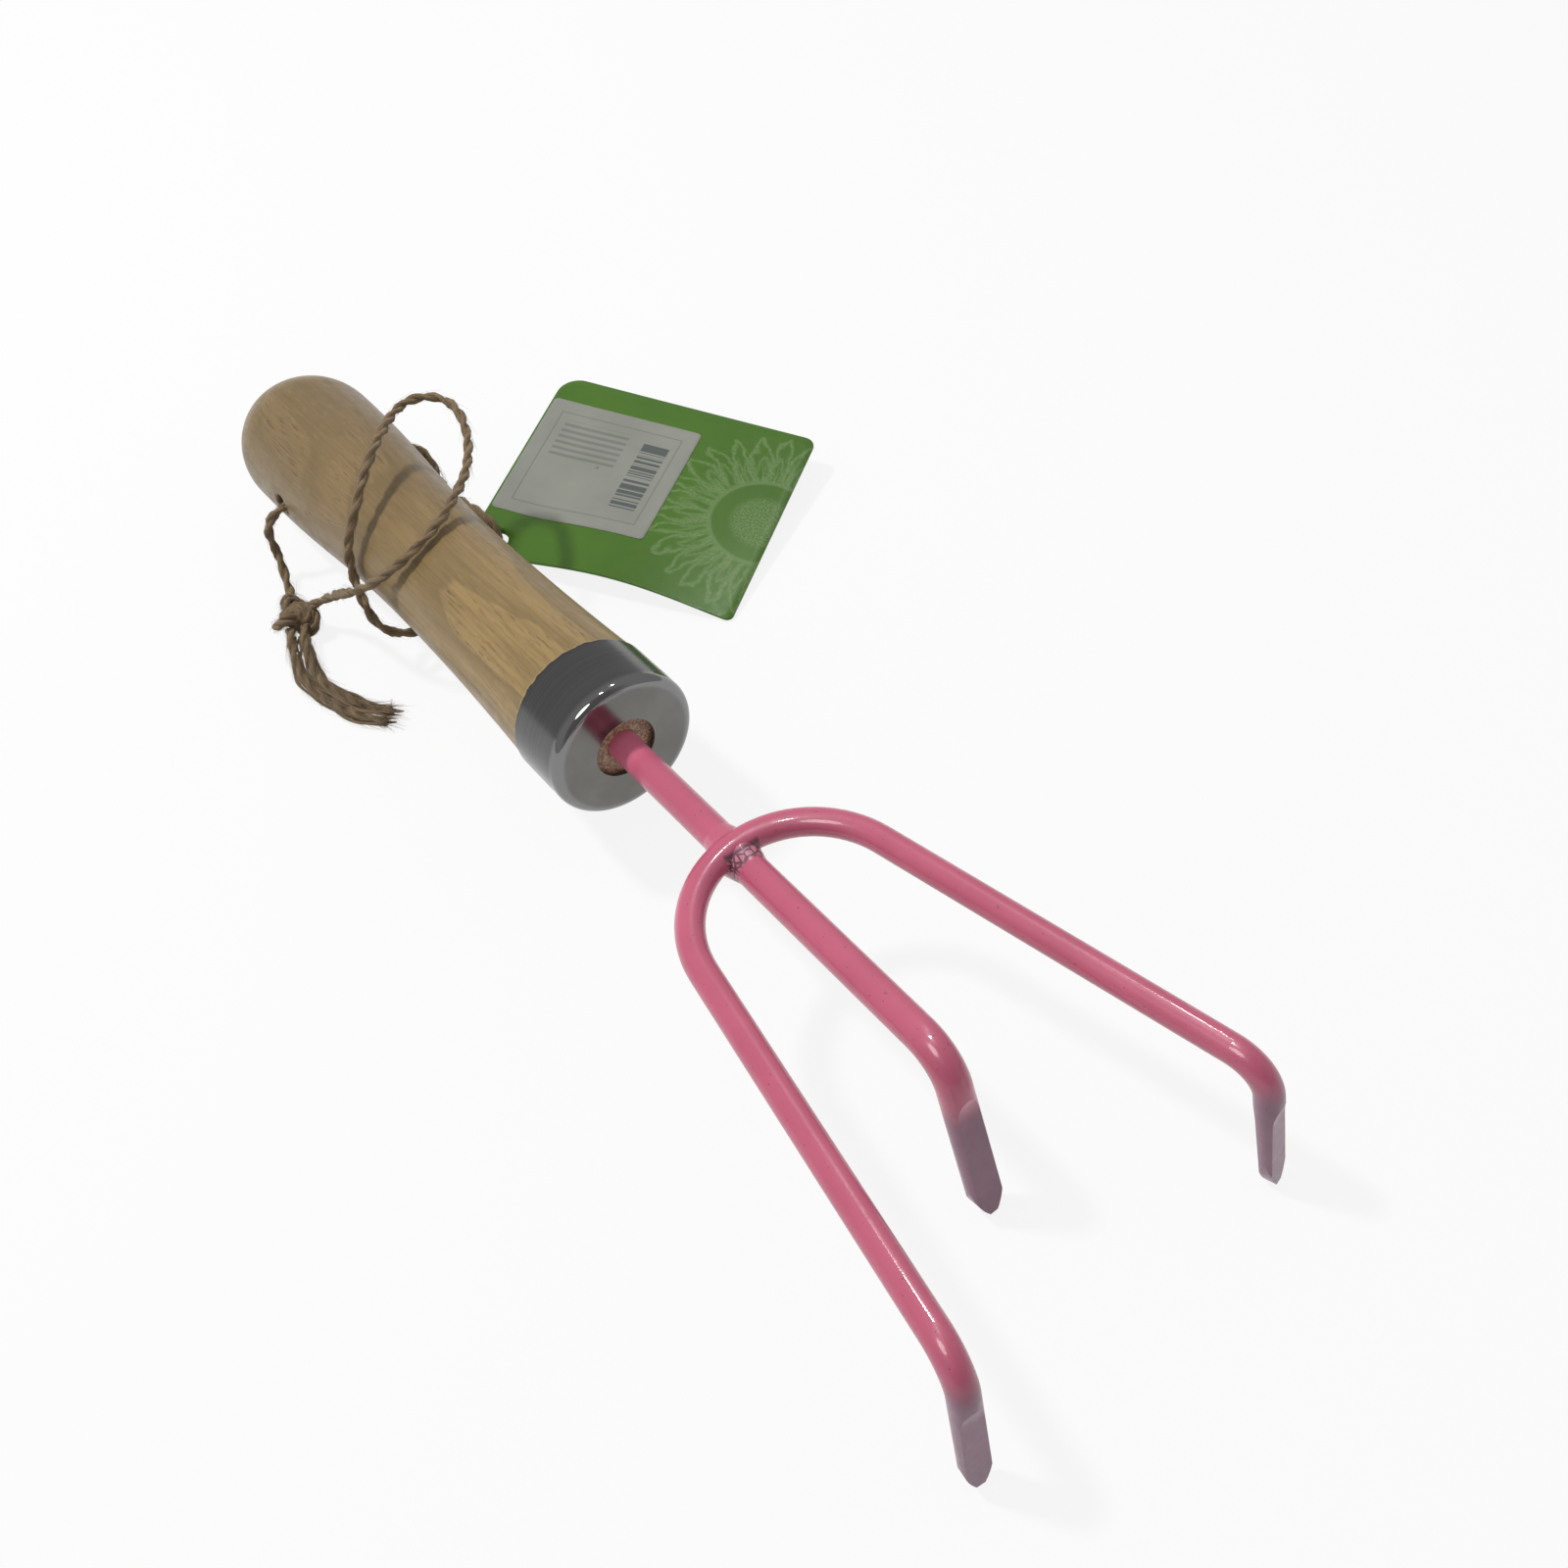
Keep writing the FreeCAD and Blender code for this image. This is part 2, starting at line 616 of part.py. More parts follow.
# ---------------------------------------------------------------- twine
# Hand-laid routes of one limp cord, in millimetres in the resting frame.
SHORT_WAY_ROUTE = [
    (-124.2, -20.0, 19.4), (-124.1, -26.2, 19.1), (-125.0, -29.4, 13.6), (-123.6, -29.0, 6.8),
    (-118.2, -30.6, 2.6), (-112.0, -32.4, 1.7), (-106.6, -33.8, 3.4),
]
LONG_WAY_ROUTE = [
    (-124.2, -20.0, 19.4), (-124.3, -9.0, 20.0), (-124.1, 2.6, 19.3), (-124.0, 13.0, 19.9),
    (-123.2, 16.4, 14.2), (-118.0, 15.8, 9.2), (-111.6, 15.0, 9.6), (-105.2, 15.8, 10.8),
    (-98.8, 17.0, 10.6), (-94.0, 18.6, 8.0), (-90.7, 16.0, 1.8), (-85.4, 7.0, 2.2),
    (-80.6, -1.6, 3.8), (-76.2, -10.2, 6.2), (-73.0, -18.2, 9.6), (-74.6, -24.4, 14.6),
    (-81.0, -24.2, 18.8), (-86.6, -22.9, 24.0), (-86.4, -22.0, 32.0), (-86.8, -17.9, 39.4),
    (-90.7, -12.2, 44.4), (-96.4, -5.9, 46.4), (-102.4, 0.0, 45.8), (-107.4, 5.0, 44.6),
    (-110.2, 10.0, 44.0), (-109.4, 15.0, 43.6), (-105.6, 18.2, 43.2), (-100.2, 18.8, 42.4),
    (-94.0, 17.0, 41.2), (-87.8, 13.8, 40.4), (-82.2, 9.8, 40.4), (-77.4, 5.4, 40.9),
    (-73.0, 0.6, 41.6), (-69.2, -4.4, 41.7), (-66.6, -10.0, 41.2), (-66.2, -16.0, 39.0),
    (-69.2, -20.8, 34.2), (-74.2, -24.6, 29.0), (-80.4, -27.2, 24.2), (-87.0, -27.0, 18.8),
    (-93.2, -26.8, 13.4), (-98.6, -29.4, 9.0), (-101.2, -32.8, 6.4),
]
LONG_TAIL_ROUTE = [
    (-99.2, -38.4, 4.4), (-94.2, -40.6, 3.8), (-88.4, -42.4, 2.6), (-82.2, -43.4, 1.9),
    (-76.0, -42.2, 1.6), (-69.6, -40.4, 1.7), (-63.6, -37.8, 1.6), (-59.4, -34.2, 1.6),
]
SHORT_TAIL_ROUTE = [
    (-98.0, -35.2, 4.6), (-93.4, -37.4, 4.0), (-88.0, -39.2, 2.7), (-82.2, -40.3, 1.9),
    (-76.4, -39.2, 1.6), (-70.4, -37.3, 1.7), (-65.0, -34.8, 1.6), (-61.8, -31.4, 1.6),
]
ARC_SHARE = 0.45


def twine(name, route):
    """Round tube along straight runs joined by tangent arcs; prints its bends and its length."""
    points = [V(*point) for point in route]
    edges = []
    radii = []
    start = points[0]
    for before, corner, after in zip(points, points[1:], points[2:]):
        arriving = (corner - before).normalize()
        leaving = (after - corner).normalize()
        cut = ARC_SHARE * min(corner.distanceToPoint(before), corner.distanceToPoint(after))
        turn = arriving.getAngle(leaving)
        radius = cut / math.tan(turn / 2)
        radii.append(radius)
        arc_start = corner - arriving * cut
        arc_end = corner + leaving * cut
        inward = (leaving - arriving).normalize()
        apex_depth = radius / math.cos(turn / 2) - radius
        edges.append(Part.LineSegment(start, arc_start).toShape())
        edges.append(Part.Arc(arc_start, corner + inward * apex_depth, arc_end).toShape())
        start = arc_end
    edges.append(Part.LineSegment(start, points[-1]).toShape())
    spine = Part.Wire(edges)
    heading = (points[1] - points[0]).normalize()
    section = Part.Wire([Part.Circle(points[0], heading, twine_radius).toShape()])
    feature = doc.addObject("Part::Feature", name)
    feature.Shape = spine.makePipeShell([section], True, True)
    expected = spine.Length * math.pi * twine_radius ** 2
    print(
        f"{name}: {spine.Length:.1f} long, bends {', '.join(f'{r:.1f}' for r in radii)};",
        f"volume {feature.Shape.Volume:.0f} for {expected:.0f}",
    )
    return feature


twine_short_way = twine("twine_short_way", SHORT_WAY_ROUTE)
twine_long_way = twine("twine_long_way", LONG_WAY_ROUTE)
twine_tail_long = twine("twine_tail_long", LONG_TAIL_ROUTE)
twine_tail_short = twine("twine_tail_short", SHORT_TAIL_ROUTE)

twine_knot = doc.addObject("Part::Ellipsoid", "twine_knot")
bind(twine_knot, "Radius1", "<<dims>>.knot_radius_z")
bind(twine_knot, "Radius2", "<<dims>>.knot_radius_x")
bind(twine_knot, "Radius3", "<<dims>>.knot_radius_y")
twine_knot.Placement = FreeCAD.Placement(V(-102.2, -35.2, 4.9), FreeCAD.Rotation())

# ---------------------------------------------------------------- swing tag and price label
# The tag's own origin is the middle of its hole on the printed face, where the twine passes.
TAG_HOLE = V(-92.45, 17.37, 5.6)
cell("tag_left", tag_hole_in)
cell("tag_right", tag_length - tag_hole_in)
cell("tag_near", tag_hole_up)
cell("tag_far", tag_width - tag_hole_up)
cell("label_left", label_in - tag_hole_in)
cell("label_right", label_in + label_length - tag_hole_in)
cell("label_near", label_up - tag_hole_up)
cell("label_far", label_up + label_width - tag_hole_up)


def card(name, corners, thickness_name, corner_name, downwards):
    """Flat card with four rounded corners; corners run anticlockwise."""
    body = new_body(name)
    outline = new_sketch(body, f"{name}_outline", "XY_Plane")
    add_outline(outline, corners)
    blank = body.newObject("PartDesign::Pad", f"{name}_blank")
    blank.Profile = outline
    blank.Reversed = downwards
    bind(blank, "Length", f"<<dims>>.{thickness_name}")
    doc.recompute()
    upright = edges_near(blank.Shape, lambda e: e.BoundBox.XLength + e.BoundBox.YLength < 0.01)
    rounded = round_edges(body, blank, f"{name}_corners", upright, corner_name)
    return body, rounded


swing_tag, tag_rounded = card(
    "swing_tag",
    [
        ("-tag_left", "-tag_near"),
        ("tag_right", "-tag_near"),
        ("tag_right", "tag_far"),
        ("-tag_left", "tag_far"),
    ],
    "tag_thickness",
    "tag_corner",
    downwards=True,
)
tag_hole = new_sketch(swing_tag, "tag_hole_circle", "XY_Plane")
add_circle(tag_hole, (0, 0), "tag_hole_radius")
cut_through(swing_tag, tag_hole, "tag_hole")

price_label, label_rounded = card(
    "price_label",
    [
        ("label_left", "label_near"),
        ("label_right", "label_near"),
        ("label_right", "label_far"),
        ("label_left", "label_far"),
    ],
    "label_thickness",
    "label_corner",
    downwards=False,
)
tag_lies = FreeCAD.Placement(
    TAG_HOLE,
    FreeCAD.Rotation(X_AXIS, tag_climb)
    * FreeCAD.Rotation(Y_AXIS, tag_fall)
    * FreeCAD.Rotation(Z_AXIS, tag_turn),
)
swing_tag.Placement = tag_lies
price_label.Placement = tag_lies
doc.recompute()

# ---------------------------------------------------------------- check and export
nodes = {
    "handle": handle,
    "ferrule": ferrule,
    "shank": shank,
    "centre_tine": centre_tine,
    "outer_tine_fork": outer_tine_fork,
    "weld_bead_rear": weld_bead_rear,
    "weld_bead_front": weld_bead_front,
    "twine_short_way": twine_short_way,
    "twine_long_way": twine_long_way,
    "twine_knot": twine_knot,
    "twine_tail_long": twine_tail_long,
    "twine_tail_short": twine_tail_short,
    "swing_tag": swing_tag,
    "price_label": price_label,
}
for item in doc.Objects:
    if "Invalid" in item.State or "Error" in item.State:
        raise RuntimeError(f"{item.Name} did not recompute: {item.State}")
os.makedirs("parts", exist_ok=True)
for name, item in nodes.items():
    item.Label = name
    shape = item.Shape
    if shape.isNull() or not shape.isValid():
        raise RuntimeError(f"{name} has no valid shape")
    shape.exportStep(f"parts/{name}.step")
    box = shape.optimalBoundingBox(True, False)
    print(
        f"{name}: {len(shape.Solids)} solid, {shape.Volume:.0f} mm3,",
        f"x {box.XMin:.2f} to {box.XMax:.2f}, y {box.YMin:.2f} to {box.YMax:.2f},",
        f"z {box.ZMin:.2f} to {box.ZMax:.2f}",
    )
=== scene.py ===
import math

import bpy
import numpy as np
from mathutils import Matrix, Vector


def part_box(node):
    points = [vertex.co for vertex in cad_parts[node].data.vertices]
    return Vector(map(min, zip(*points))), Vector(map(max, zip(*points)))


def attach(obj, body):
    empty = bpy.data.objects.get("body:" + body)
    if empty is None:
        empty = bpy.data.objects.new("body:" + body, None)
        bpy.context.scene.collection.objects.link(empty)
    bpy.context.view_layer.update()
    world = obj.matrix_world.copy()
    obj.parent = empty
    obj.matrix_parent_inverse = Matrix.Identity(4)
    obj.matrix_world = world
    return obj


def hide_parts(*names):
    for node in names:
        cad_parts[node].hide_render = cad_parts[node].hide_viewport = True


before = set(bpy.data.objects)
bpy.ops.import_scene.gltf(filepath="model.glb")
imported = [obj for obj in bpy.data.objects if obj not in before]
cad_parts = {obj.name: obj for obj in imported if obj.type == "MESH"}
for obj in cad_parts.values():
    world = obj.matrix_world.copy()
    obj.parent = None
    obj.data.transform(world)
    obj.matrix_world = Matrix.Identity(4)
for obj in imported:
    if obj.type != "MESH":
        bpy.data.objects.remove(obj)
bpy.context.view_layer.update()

# ---------------------------------------------------------------- studio
# A wide pale floor under a soft grey sky that is darker on one side. One lamp, high behind the
# butt of the handle, lights the tool, and three more only put bright spots on steel and enamel.
# The camera stands above the tines and looks back down the tool.
scene = bpy.context.scene
scene.view_settings.view_transform = "Standard"


def put(tree, kind, inputs=None, **settings):
    """Add one node. inputs maps a socket's name or number to a value or to another output."""
    made = tree.nodes.new(kind)
    for key, value in settings.items():
        setattr(made, key, value)
    for key, value in (inputs or {}).items():
        if isinstance(value, bpy.types.NodeSocket):
            tree.links.new(value, made.inputs[key])
        else:
            made.inputs[key].default_value = value
    return made


def math_of(tree, operation, *terms):
    """Output of a Math node with these terms, in order."""
    return put(tree, "ShaderNodeMath", dict(enumerate(terms)), operation=operation).outputs[0]


def ease(tree, value, low, high, start=0.0, end=1.0):
    """Smooth step of a value from start, at low, to end, at high."""
    return put(
        tree,
        "ShaderNodeMapRange",
        {"Value": value, "From Min": low, "From Max": high, "To Min": start, "To Max": end},
        interpolation_type="SMOOTHSTEP",
    ).outputs["Result"]


sky = bpy.data.worlds.new("sky")
scene.world = sky
sky.use_nodes = True
sky_tree = sky.node_tree
sky_tree.nodes.clear()
WHITE = (1.0, 1.0, 1.0, 1.0)
SKY_LEVEL = 0.50
DARK_SIDE = 0.26
DARK_WAY = (0.80, -0.22, 0.56)
BACKDROP_LEVEL = 0.93
looking = put(sky_tree, "ShaderNodeTexCoord").outputs["Generated"]
toward_room = put(
    sky_tree, "ShaderNodeVectorMath", {0: looking, 1: DARK_WAY}, operation="DOT_PRODUCT"
).outputs["Value"]
room = ease(sky_tree, toward_room, 0.62, 0.90, SKY_LEVEL, DARK_SIDE)
straight_seen = put(sky_tree, "ShaderNodeLightPath").outputs["Is Camera Ray"]
backdrop = math_of(sky_tree, "MULTIPLY", straight_seen, BACKDROP_LEVEL)
shown = math_of(sky_tree, "MAXIMUM", room, backdrop)
sky_light = put(sky_tree, "ShaderNodeBackground", {"Color": WHITE, "Strength": shown})
put(sky_tree, "ShaderNodeOutputWorld", {"Surface": sky_light.outputs[0]})

FLOOR_HALF = 4.0
FLOOR_DROP = 0.0002
floor_mesh = bpy.data.meshes.new("floor")
floor_mesh.from_pydata(
    [
        (-FLOOR_HALF, -FLOOR_HALF, -FLOOR_DROP),
        (FLOOR_HALF, -FLOOR_HALF, -FLOOR_DROP),
        (FLOOR_HALF, FLOOR_HALF, -FLOOR_DROP),
        (-FLOOR_HALF, FLOOR_HALF, -FLOOR_DROP),
    ],
    [],
    [(0, 1, 2, 3)],
)
floor = bpy.data.objects.new("floor", floor_mesh)
scene.collection.objects.link(floor)
floor_paint = bpy.data.materials.new("pale_floor")
floor_paint.use_nodes = True
floor_tree = floor_paint.node_tree
floor_tree.nodes.clear()
FLOOR_GREY = (0.60, 0.60, 0.60, 1.0)
FLOOR_GLOW = 1.08
matt = put(floor_tree, "ShaderNodeBsdfDiffuse", {"Color": FLOOR_GREY})
white = put(floor_tree, "ShaderNodeEmission", {"Color": WHITE, "Strength": FLOOR_GLOW})
seen = put(floor_tree, "ShaderNodeLightPath")
seen_rays = math_of(
    floor_tree,
    "MAXIMUM",
    seen.outputs["Is Camera Ray"],
    math_of(
        floor_tree, "MAXIMUM", seen.outputs["Is Glossy Ray"], seen.outputs["Is Transmission Ray"]
    ),
)
WHITENING = 0.8
lift = math_of(floor_tree, "MULTIPLY", seen_rays, WHITENING)
floor_mix = put(
    floor_tree, "ShaderNodeMixShader", {0: lift, 1: matt.outputs[0], 2: white.outputs[0]}
)
put(floor_tree, "ShaderNodeOutputMaterial", {"Surface": floor_mix.outputs[0]})
floor_mesh.materials.append(floor_paint)


def hang_lamp(name, place, across, watts, lights=True):
    """A round lamp at a place, turned to face the middle. It lights the object or only glints."""
    data = bpy.data.lights.new(name, "AREA")
    data.shape = "DISK"
    data.size = across
    data.energy = watts
    lamp = bpy.data.objects.new(name, data)
    lamp.location = place
    lamp.rotation_euler = Vector(place).to_track_quat("Z", "Y").to_euler()
    lamp.visible_camera = False
    lamp.visible_diffuse = lights
    lamp.visible_glossy = not lights
    scene.collection.objects.link(lamp)


hang_lamp("key_lamp", (-0.54, -0.33, 1.02), 0.12, 7.9)
hang_lamp("tine_glint", (-0.137, 0.439, 1.108), 0.06, 3.6, lights=False)
hang_lamp("crown_glint", (0.114, 0.101, 1.190), 0.07, 3.4, lights=False)
hang_lamp("ferrule_glint", (0.43, -0.49, 1.00), 0.50, 5.0, lights=False)

camera_data = bpy.data.cameras.new("camera")
camera_data.sensor_width = 36.0
camera_data.lens = 38.966
camera_data.shift_x = -0.07434
camera_data.shift_y = -0.06029
camera_data.clip_start = 0.01
camera = bpy.data.objects.new("camera", camera_data)
camera.location = (0.222375, -0.107300, 0.308165)
camera.rotation_euler = [math.radians(turn) for turn in (41.5945, 0.4688, 50.0135)]
scene.collection.objects.link(camera)
scene.camera = camera

# ---------------------------------------------------------------- handle
# Pale ash turned on a lathe, bored for the tang and cross-drilled for the twine, then dipped in
# clear satin varnish. The grain runs along the axis, and the raw end shows inside the ferrule.
NOSE_RISE = math.radians(4.785)
FERRULE_FACE = Vector((0.0070028, -0.0057560, 0.0306241))
FERRULE_MM = 16.3
MM_PER_M = 1000.0


def new_material(name):
    """A cleared material, its tree and its Principled shader, already joined to the output."""
    material = bpy.data.materials.new(name)
    material.use_nodes = True
    tree = material.node_tree
    tree.nodes.clear()
    shader = put(tree, "ShaderNodeBsdfPrincipled")
    put(tree, "ShaderNodeOutputMaterial", {"Surface": shader.outputs[0]})
    return material, tree, shader


def feed(tree, shader, **sockets):
    """Sets or joins a shader's sockets; Base_Color stands for Base Color."""
    for name, value in sockets.items():
        socket = shader.inputs[name.replace("_", " ")]
        if isinstance(value, bpy.types.NodeSocket):
            tree.links.new(value, socket)
        else:
            socket.default_value = value


def rgb(red, green, blue):
    """Linear colour of a screen colour given in 0 to 255."""
    screen = np.array([red, green, blue]) / 255
    linear = np.where(screen <= 0.04045, screen / 12.92, ((screen + 0.055) / 1.055) ** 2.4)
    return (*linear.tolist(), 1.0)


def blend_colour(tree, factor, first, second):
    """First colour x (1 - factor) + second colour x factor."""
    return put(
        tree, "ShaderNodeMix", {0: factor, 6: first, 7: second}, data_type="RGBA"
    ).outputs[2]


def tool_point(tree):
    """Place on the tool in mm: x along its axis from the ferrule's face, y and z across it."""
    laid = Matrix.Rotation(NOSE_RISE, 3, "Y") @ FERRULE_FACE
    return put(
        tree,
        "ShaderNodeMapping",
        {
            "Vector": put(tree, "ShaderNodeTexCoord").outputs["Object"],
            "Location": -laid * MM_PER_M,
            "Rotation": (0.0, NOSE_RISE, 0.0),
            "Scale": (MM_PER_M, MM_PER_M, MM_PER_M),
        },
    ).outputs[0]


def stretched(tree, vector, along, across):
    """A vector with its x divided by along and its y and z divided by across."""
    return put(
        tree,
        "ShaderNodeVectorMath",
        {0: vector, 1: (1 / along, 1 / across, 1 / across)},
        operation="MULTIPLY",
    ).outputs[0]


def noise(tree, vector, scale=1.0, detail=2.0, roughness=0.5):
    """Value of a noise whose features are about one over scale across."""
    return put(
        tree,
        "ShaderNodeTexNoise",
        {"Vector": vector, "Scale": scale, "Detail": detail, "Roughness": roughness},
    ).outputs["Fac"]


def bumped(tree, height, strength, distance):
    """Normal of a surface raised by a height from 0 to 1, times a distance in metres."""
    return put(
        tree,
        "ShaderNodeBump",
        {"Height": height, "Strength": strength, "Distance": distance},
    ).outputs["Normal"]


def build_mottle():
    """Group: uneven tone at a broad and at a fine size, both 0 to 1, for any finish."""
    group = bpy.data.node_groups.new("mottle", "ShaderNodeTree")
    group.interface.new_socket(name="Vector", in_out="INPUT", socket_type="NodeSocketVector")
    size = group.interface.new_socket(name="Size", in_out="INPUT", socket_type="NodeSocketFloat")
    size.default_value = 20.0
    for title in ("Broad", "Fine"):
        group.interface.new_socket(name=title, in_out="OUTPUT", socket_type="NodeSocketFloat")
    entry = put(group, "NodeGroupInput")
    leave = put(group, "NodeGroupOutput")
    for title, share in (("Broad", 1.0), ("Fine", 12.0)):
        scale = math_of(group, "DIVIDE", share, entry.outputs["Size"])
        value = noise(group, entry.outputs["Vector"], scale, 3.0, 0.55)
        group.links.new(ease(group, value, 0.3, 0.7), leave.inputs[title])
    return group


mottle = build_mottle()


def mottled(tree, vector, size):
    """The broad and the fine outputs of a mottle group set to a size in millimetres."""
    made = put(tree, "ShaderNodeGroup", node_tree=mottle)
    tree.links.new(vector, made.inputs["Vector"])
    made.inputs["Size"].default_value = size
    return made.outputs["Broad"], made.outputs["Fine"]


ash, tree, shader = new_material("varnished_ash")
spot = tool_point(tree)
PITH_MM = (0.0, 17.0, -31.0)
RING_MM = 4.6
RING_SWAY_MM = 13.0
BUTT_FROM_MM, BUTT_TO_MM = -30.0, -150.0
drift = put(
    tree,
    "ShaderNodeTexNoise",
    {"Vector": stretched(tree, spot, 70.0, 16.0), "Scale": 1.0, "Detail": 2.0},
).outputs["Color"]
wander = put(
    tree, "ShaderNodeVectorMath", {0: drift, 1: (0.5, 0.5, 0.5)}, operation="SUBTRACT"
).outputs[0]
swayed = put(
    tree,
    "ShaderNodeVectorMath",
    {0: wander, 1: (0.0, RING_SWAY_MM, RING_SWAY_MM), 2: spot},
    operation="MULTIPLY_ADD",
).outputs[0]
from_pith = put(
    tree, "ShaderNodeVectorMath", {0: swayed, 1: PITH_MM}, operation="SUBTRACT"
).outputs[0]
across_grain = put(
    tree, "ShaderNodeVectorMath", {0: from_pith, 1: (0.06, 1.0, 1.0)}, operation="MULTIPLY"
).outputs[0]
pith_distance = put(
    tree, "ShaderNodeVectorMath", {0: across_grain}, operation="LENGTH"
).outputs["Value"]
ring = math_of(tree, "FRACT", math_of(tree, "DIVIDE", pith_distance, RING_MM))
late_wood = math_of(
    tree, "MULTIPLY", ease(tree, ring, 0.35, 0.92), ease(tree, ring, 1.0, 0.93)
)
pores = ease(tree, noise(tree, stretched(tree, spot, 7.0, 0.55), 1.0, 2.0, 0.6), 0.54, 0.68)
pores = math_of(tree, "MULTIPLY", pores, ease(tree, ring, 0.0, 0.5, 1.0, 0.35))
threads = noise(tree, stretched(tree, spot, 26.0, 0.9), 1.0, 3.0, 0.6)
broad, fine = mottled(tree, spot, 34.0)
place = put(tree, "ShaderNodeSeparateXYZ", {0: spot}).outputs
toward_butt = ease(tree, place["X"], BUTT_FROM_MM, BUTT_TO_MM)
wood = blend_colour(tree, toward_butt, rgb(168, 140, 92), rgb(138, 115, 80))
wood = blend_colour(
    tree, math_of(tree, "MULTIPLY", late_wood, 0.60), wood, rgb(122, 103, 68)
)
wood = blend_colour(
    tree, ease(tree, threads, 0.40, 0.66, 0.0, 0.42), wood, rgb(118, 96, 62)
)
pale_flecks = noise(tree, stretched(tree, spot, 5.0, 1.3), 1.0, 2.0, 0.6)
wood = blend_colour(
    tree, ease(tree, pale_flecks, 0.52, 0.74, 0.0, 0.22), wood, rgb(172, 153, 110)
)
wood = blend_colour(tree, math_of(tree, "MULTIPLY", broad, 0.25), wood, rgb(130, 111, 80))
wood = blend_colour(tree, math_of(tree, "MULTIPLY", pores, 0.62), wood, rgb(92, 73, 48))
ragged = math_of(tree, "ADD", place["X"], math_of(tree, "MULTIPLY", fine, 0.5))
chipped = math_of(
    tree, "MULTIPLY", ease(tree, ragged, -FERRULE_MM - 1.0, -FERRULE_MM - 0.55), 0.6
)
wood = blend_colour(tree, chipped, wood, rgb(186, 164, 120))
seam = ease(tree, ragged, -FERRULE_MM - 0.62, -FERRULE_MM - 0.28)
wood = blend_colour(tree, seam, wood, rgb(50, 38, 27))
raw_end = ease(tree, place["X"], -2.6, -1.9)
end_fibres = noise(tree, spot, 1.6, 3.0, 0.7)
end_colour = blend_colour(
    tree, ease(tree, end_fibres, 0.4, 0.62), rgb(138, 106, 82), rgb(212, 178, 144)
)
wood = blend_colour(tree, raw_end, wood, end_colour)
relief = math_of(tree, "SUBTRACT", math_of(tree, "MULTIPLY", threads, 0.4), pores)
feed(
    tree,
    shader,
    Base_Color=wood,
    Roughness=ease(tree, fine, 0.0, 1.0, 0.40, 0.52),
    Normal=bumped(tree, relief, 0.35, 0.00012),
    Coat_Weight=0.25,
    Coat_Roughness=0.28,
    Specular_IOR_Level=0.35,
)
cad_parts["handle"].material_slots[0].material = ash

# ---------------------------------------------------------------- ferrule
# A cup drawn from plated steel sheet, spun with fine brushing round its axis. Its front corner is
# rolled and polished, and the hole in its face lets the shank through.
steel, tree, shader = new_material("polished_steel")
spot = tool_point(tree)
place = put(tree, "ShaderNodeSeparateXYZ", {0: spot}).outputs
across_tool = put(
    tree, "ShaderNodeVectorMath", {0: spot, 1: (0.0, 1.0, 1.0)}, operation="MULTIPLY"
).outputs[0]
from_axis = put(
    tree, "ShaderNodeVectorMath", {0: across_tool}, operation="LENGTH"
).outputs["Value"]
turned = put(tree, "ShaderNodeCombineXYZ", {"X": place["X"], "Y": from_axis, "Z": 0.0}).outputs[0]
brushing = noise(tree, turned, 7.0, 4.0, 0.75)
broad, fine = mottled(tree, spot, 9.0)
corner = math_of(
    tree,
    "MULTIPLY",
    ease(tree, place["X"], -3.2, -1.6),
    ease(tree, from_axis, 14.6, 15.6),
)
brushed = ease(tree, brushing, 0.3, 0.7, 0.10, 0.20)
dulled = math_of(tree, "ADD", brushed, math_of(tree, "MULTIPLY", broad, 0.08))
polish = put(
    tree, "ShaderNodeMix", {0: corner, 2: dulled, 3: 0.05}, data_type="FLOAT"
).outputs[0]
metal = blend_colour(tree, ease(tree, brushing, 0.3, 0.7), rgb(91, 92, 92), rgb(111, 111, 110))
face = blend_colour(tree, broad, rgb(110, 109, 106), rgb(122, 121, 118))
face = blend_colour(tree, ease(tree, brushing, 0.3, 0.7, 0.0, 0.5), face, rgb(104, 103, 100))
metal = blend_colour(tree, ease(tree, place["X"], -1.2, -0.6), metal, face)
metal = blend_colour(tree, corner, metal, rgb(130, 130, 130))
feed(
    tree,
    shader,
    Base_Color=metal,
    Metallic=1.0,
    Roughness=polish,
    Normal=bumped(tree, brushing, 0.08, 0.00004),
)
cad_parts["ferrule"].material_slots[0].material = steel

# ---------------------------------------------------------------- shank, tines and welds
# Round bar, 7 mm for the shank and the centre tine and 6 mm for the U, bent cold, forged flat at
# the points, welded together at the crown and then dipped in pink enamel.
CROWN_MM = 39.8
ROOT_LIGHT_FULL_MM, ROOT_LIGHT_END_MM = 3.0, 9.0
LOW_FROM_MM, LOW_TO_MM = -7.5, -15.5
enamel, tree, shader = new_material("pink_enamel")
spot = tool_point(tree)
place = put(tree, "ShaderNodeSeparateXYZ", {0: spot}).outputs
broad, fine = mottled(tree, spot, 14.0)
peel = noise(tree, spot, 0.55, 2.0, 0.5)
specks = ease(tree, noise(tree, spot, 1.35, 1.0, 0.4), 0.735, 0.76)
pink = blend_colour(tree, broad, rgb(210, 101, 130), rgb(202, 95, 124))
# Painted highlight: the enamel turns paler pink over the last few mm before the ferrule, standing
# in for light thrown back onto the shank's root by the ferrule's face.
root = ease(tree, place["X"], ROOT_LIGHT_END_MM, ROOT_LIGHT_FULL_MM, 0.0, 0.8)
pink = blend_colour(tree, root, pink, rgb(244, 128, 160))
pink = blend_colour(tree, math_of(tree, "MULTIPLY", specks, 0.55), pink, rgb(120, 62, 82))
cells = put(
    tree,
    "ShaderNodeTexVoronoi",
    {"Vector": spot, "Scale": 0.62, "Randomness": 1.0},
    feature="DISTANCE_TO_EDGE",
).outputs["Distance"]
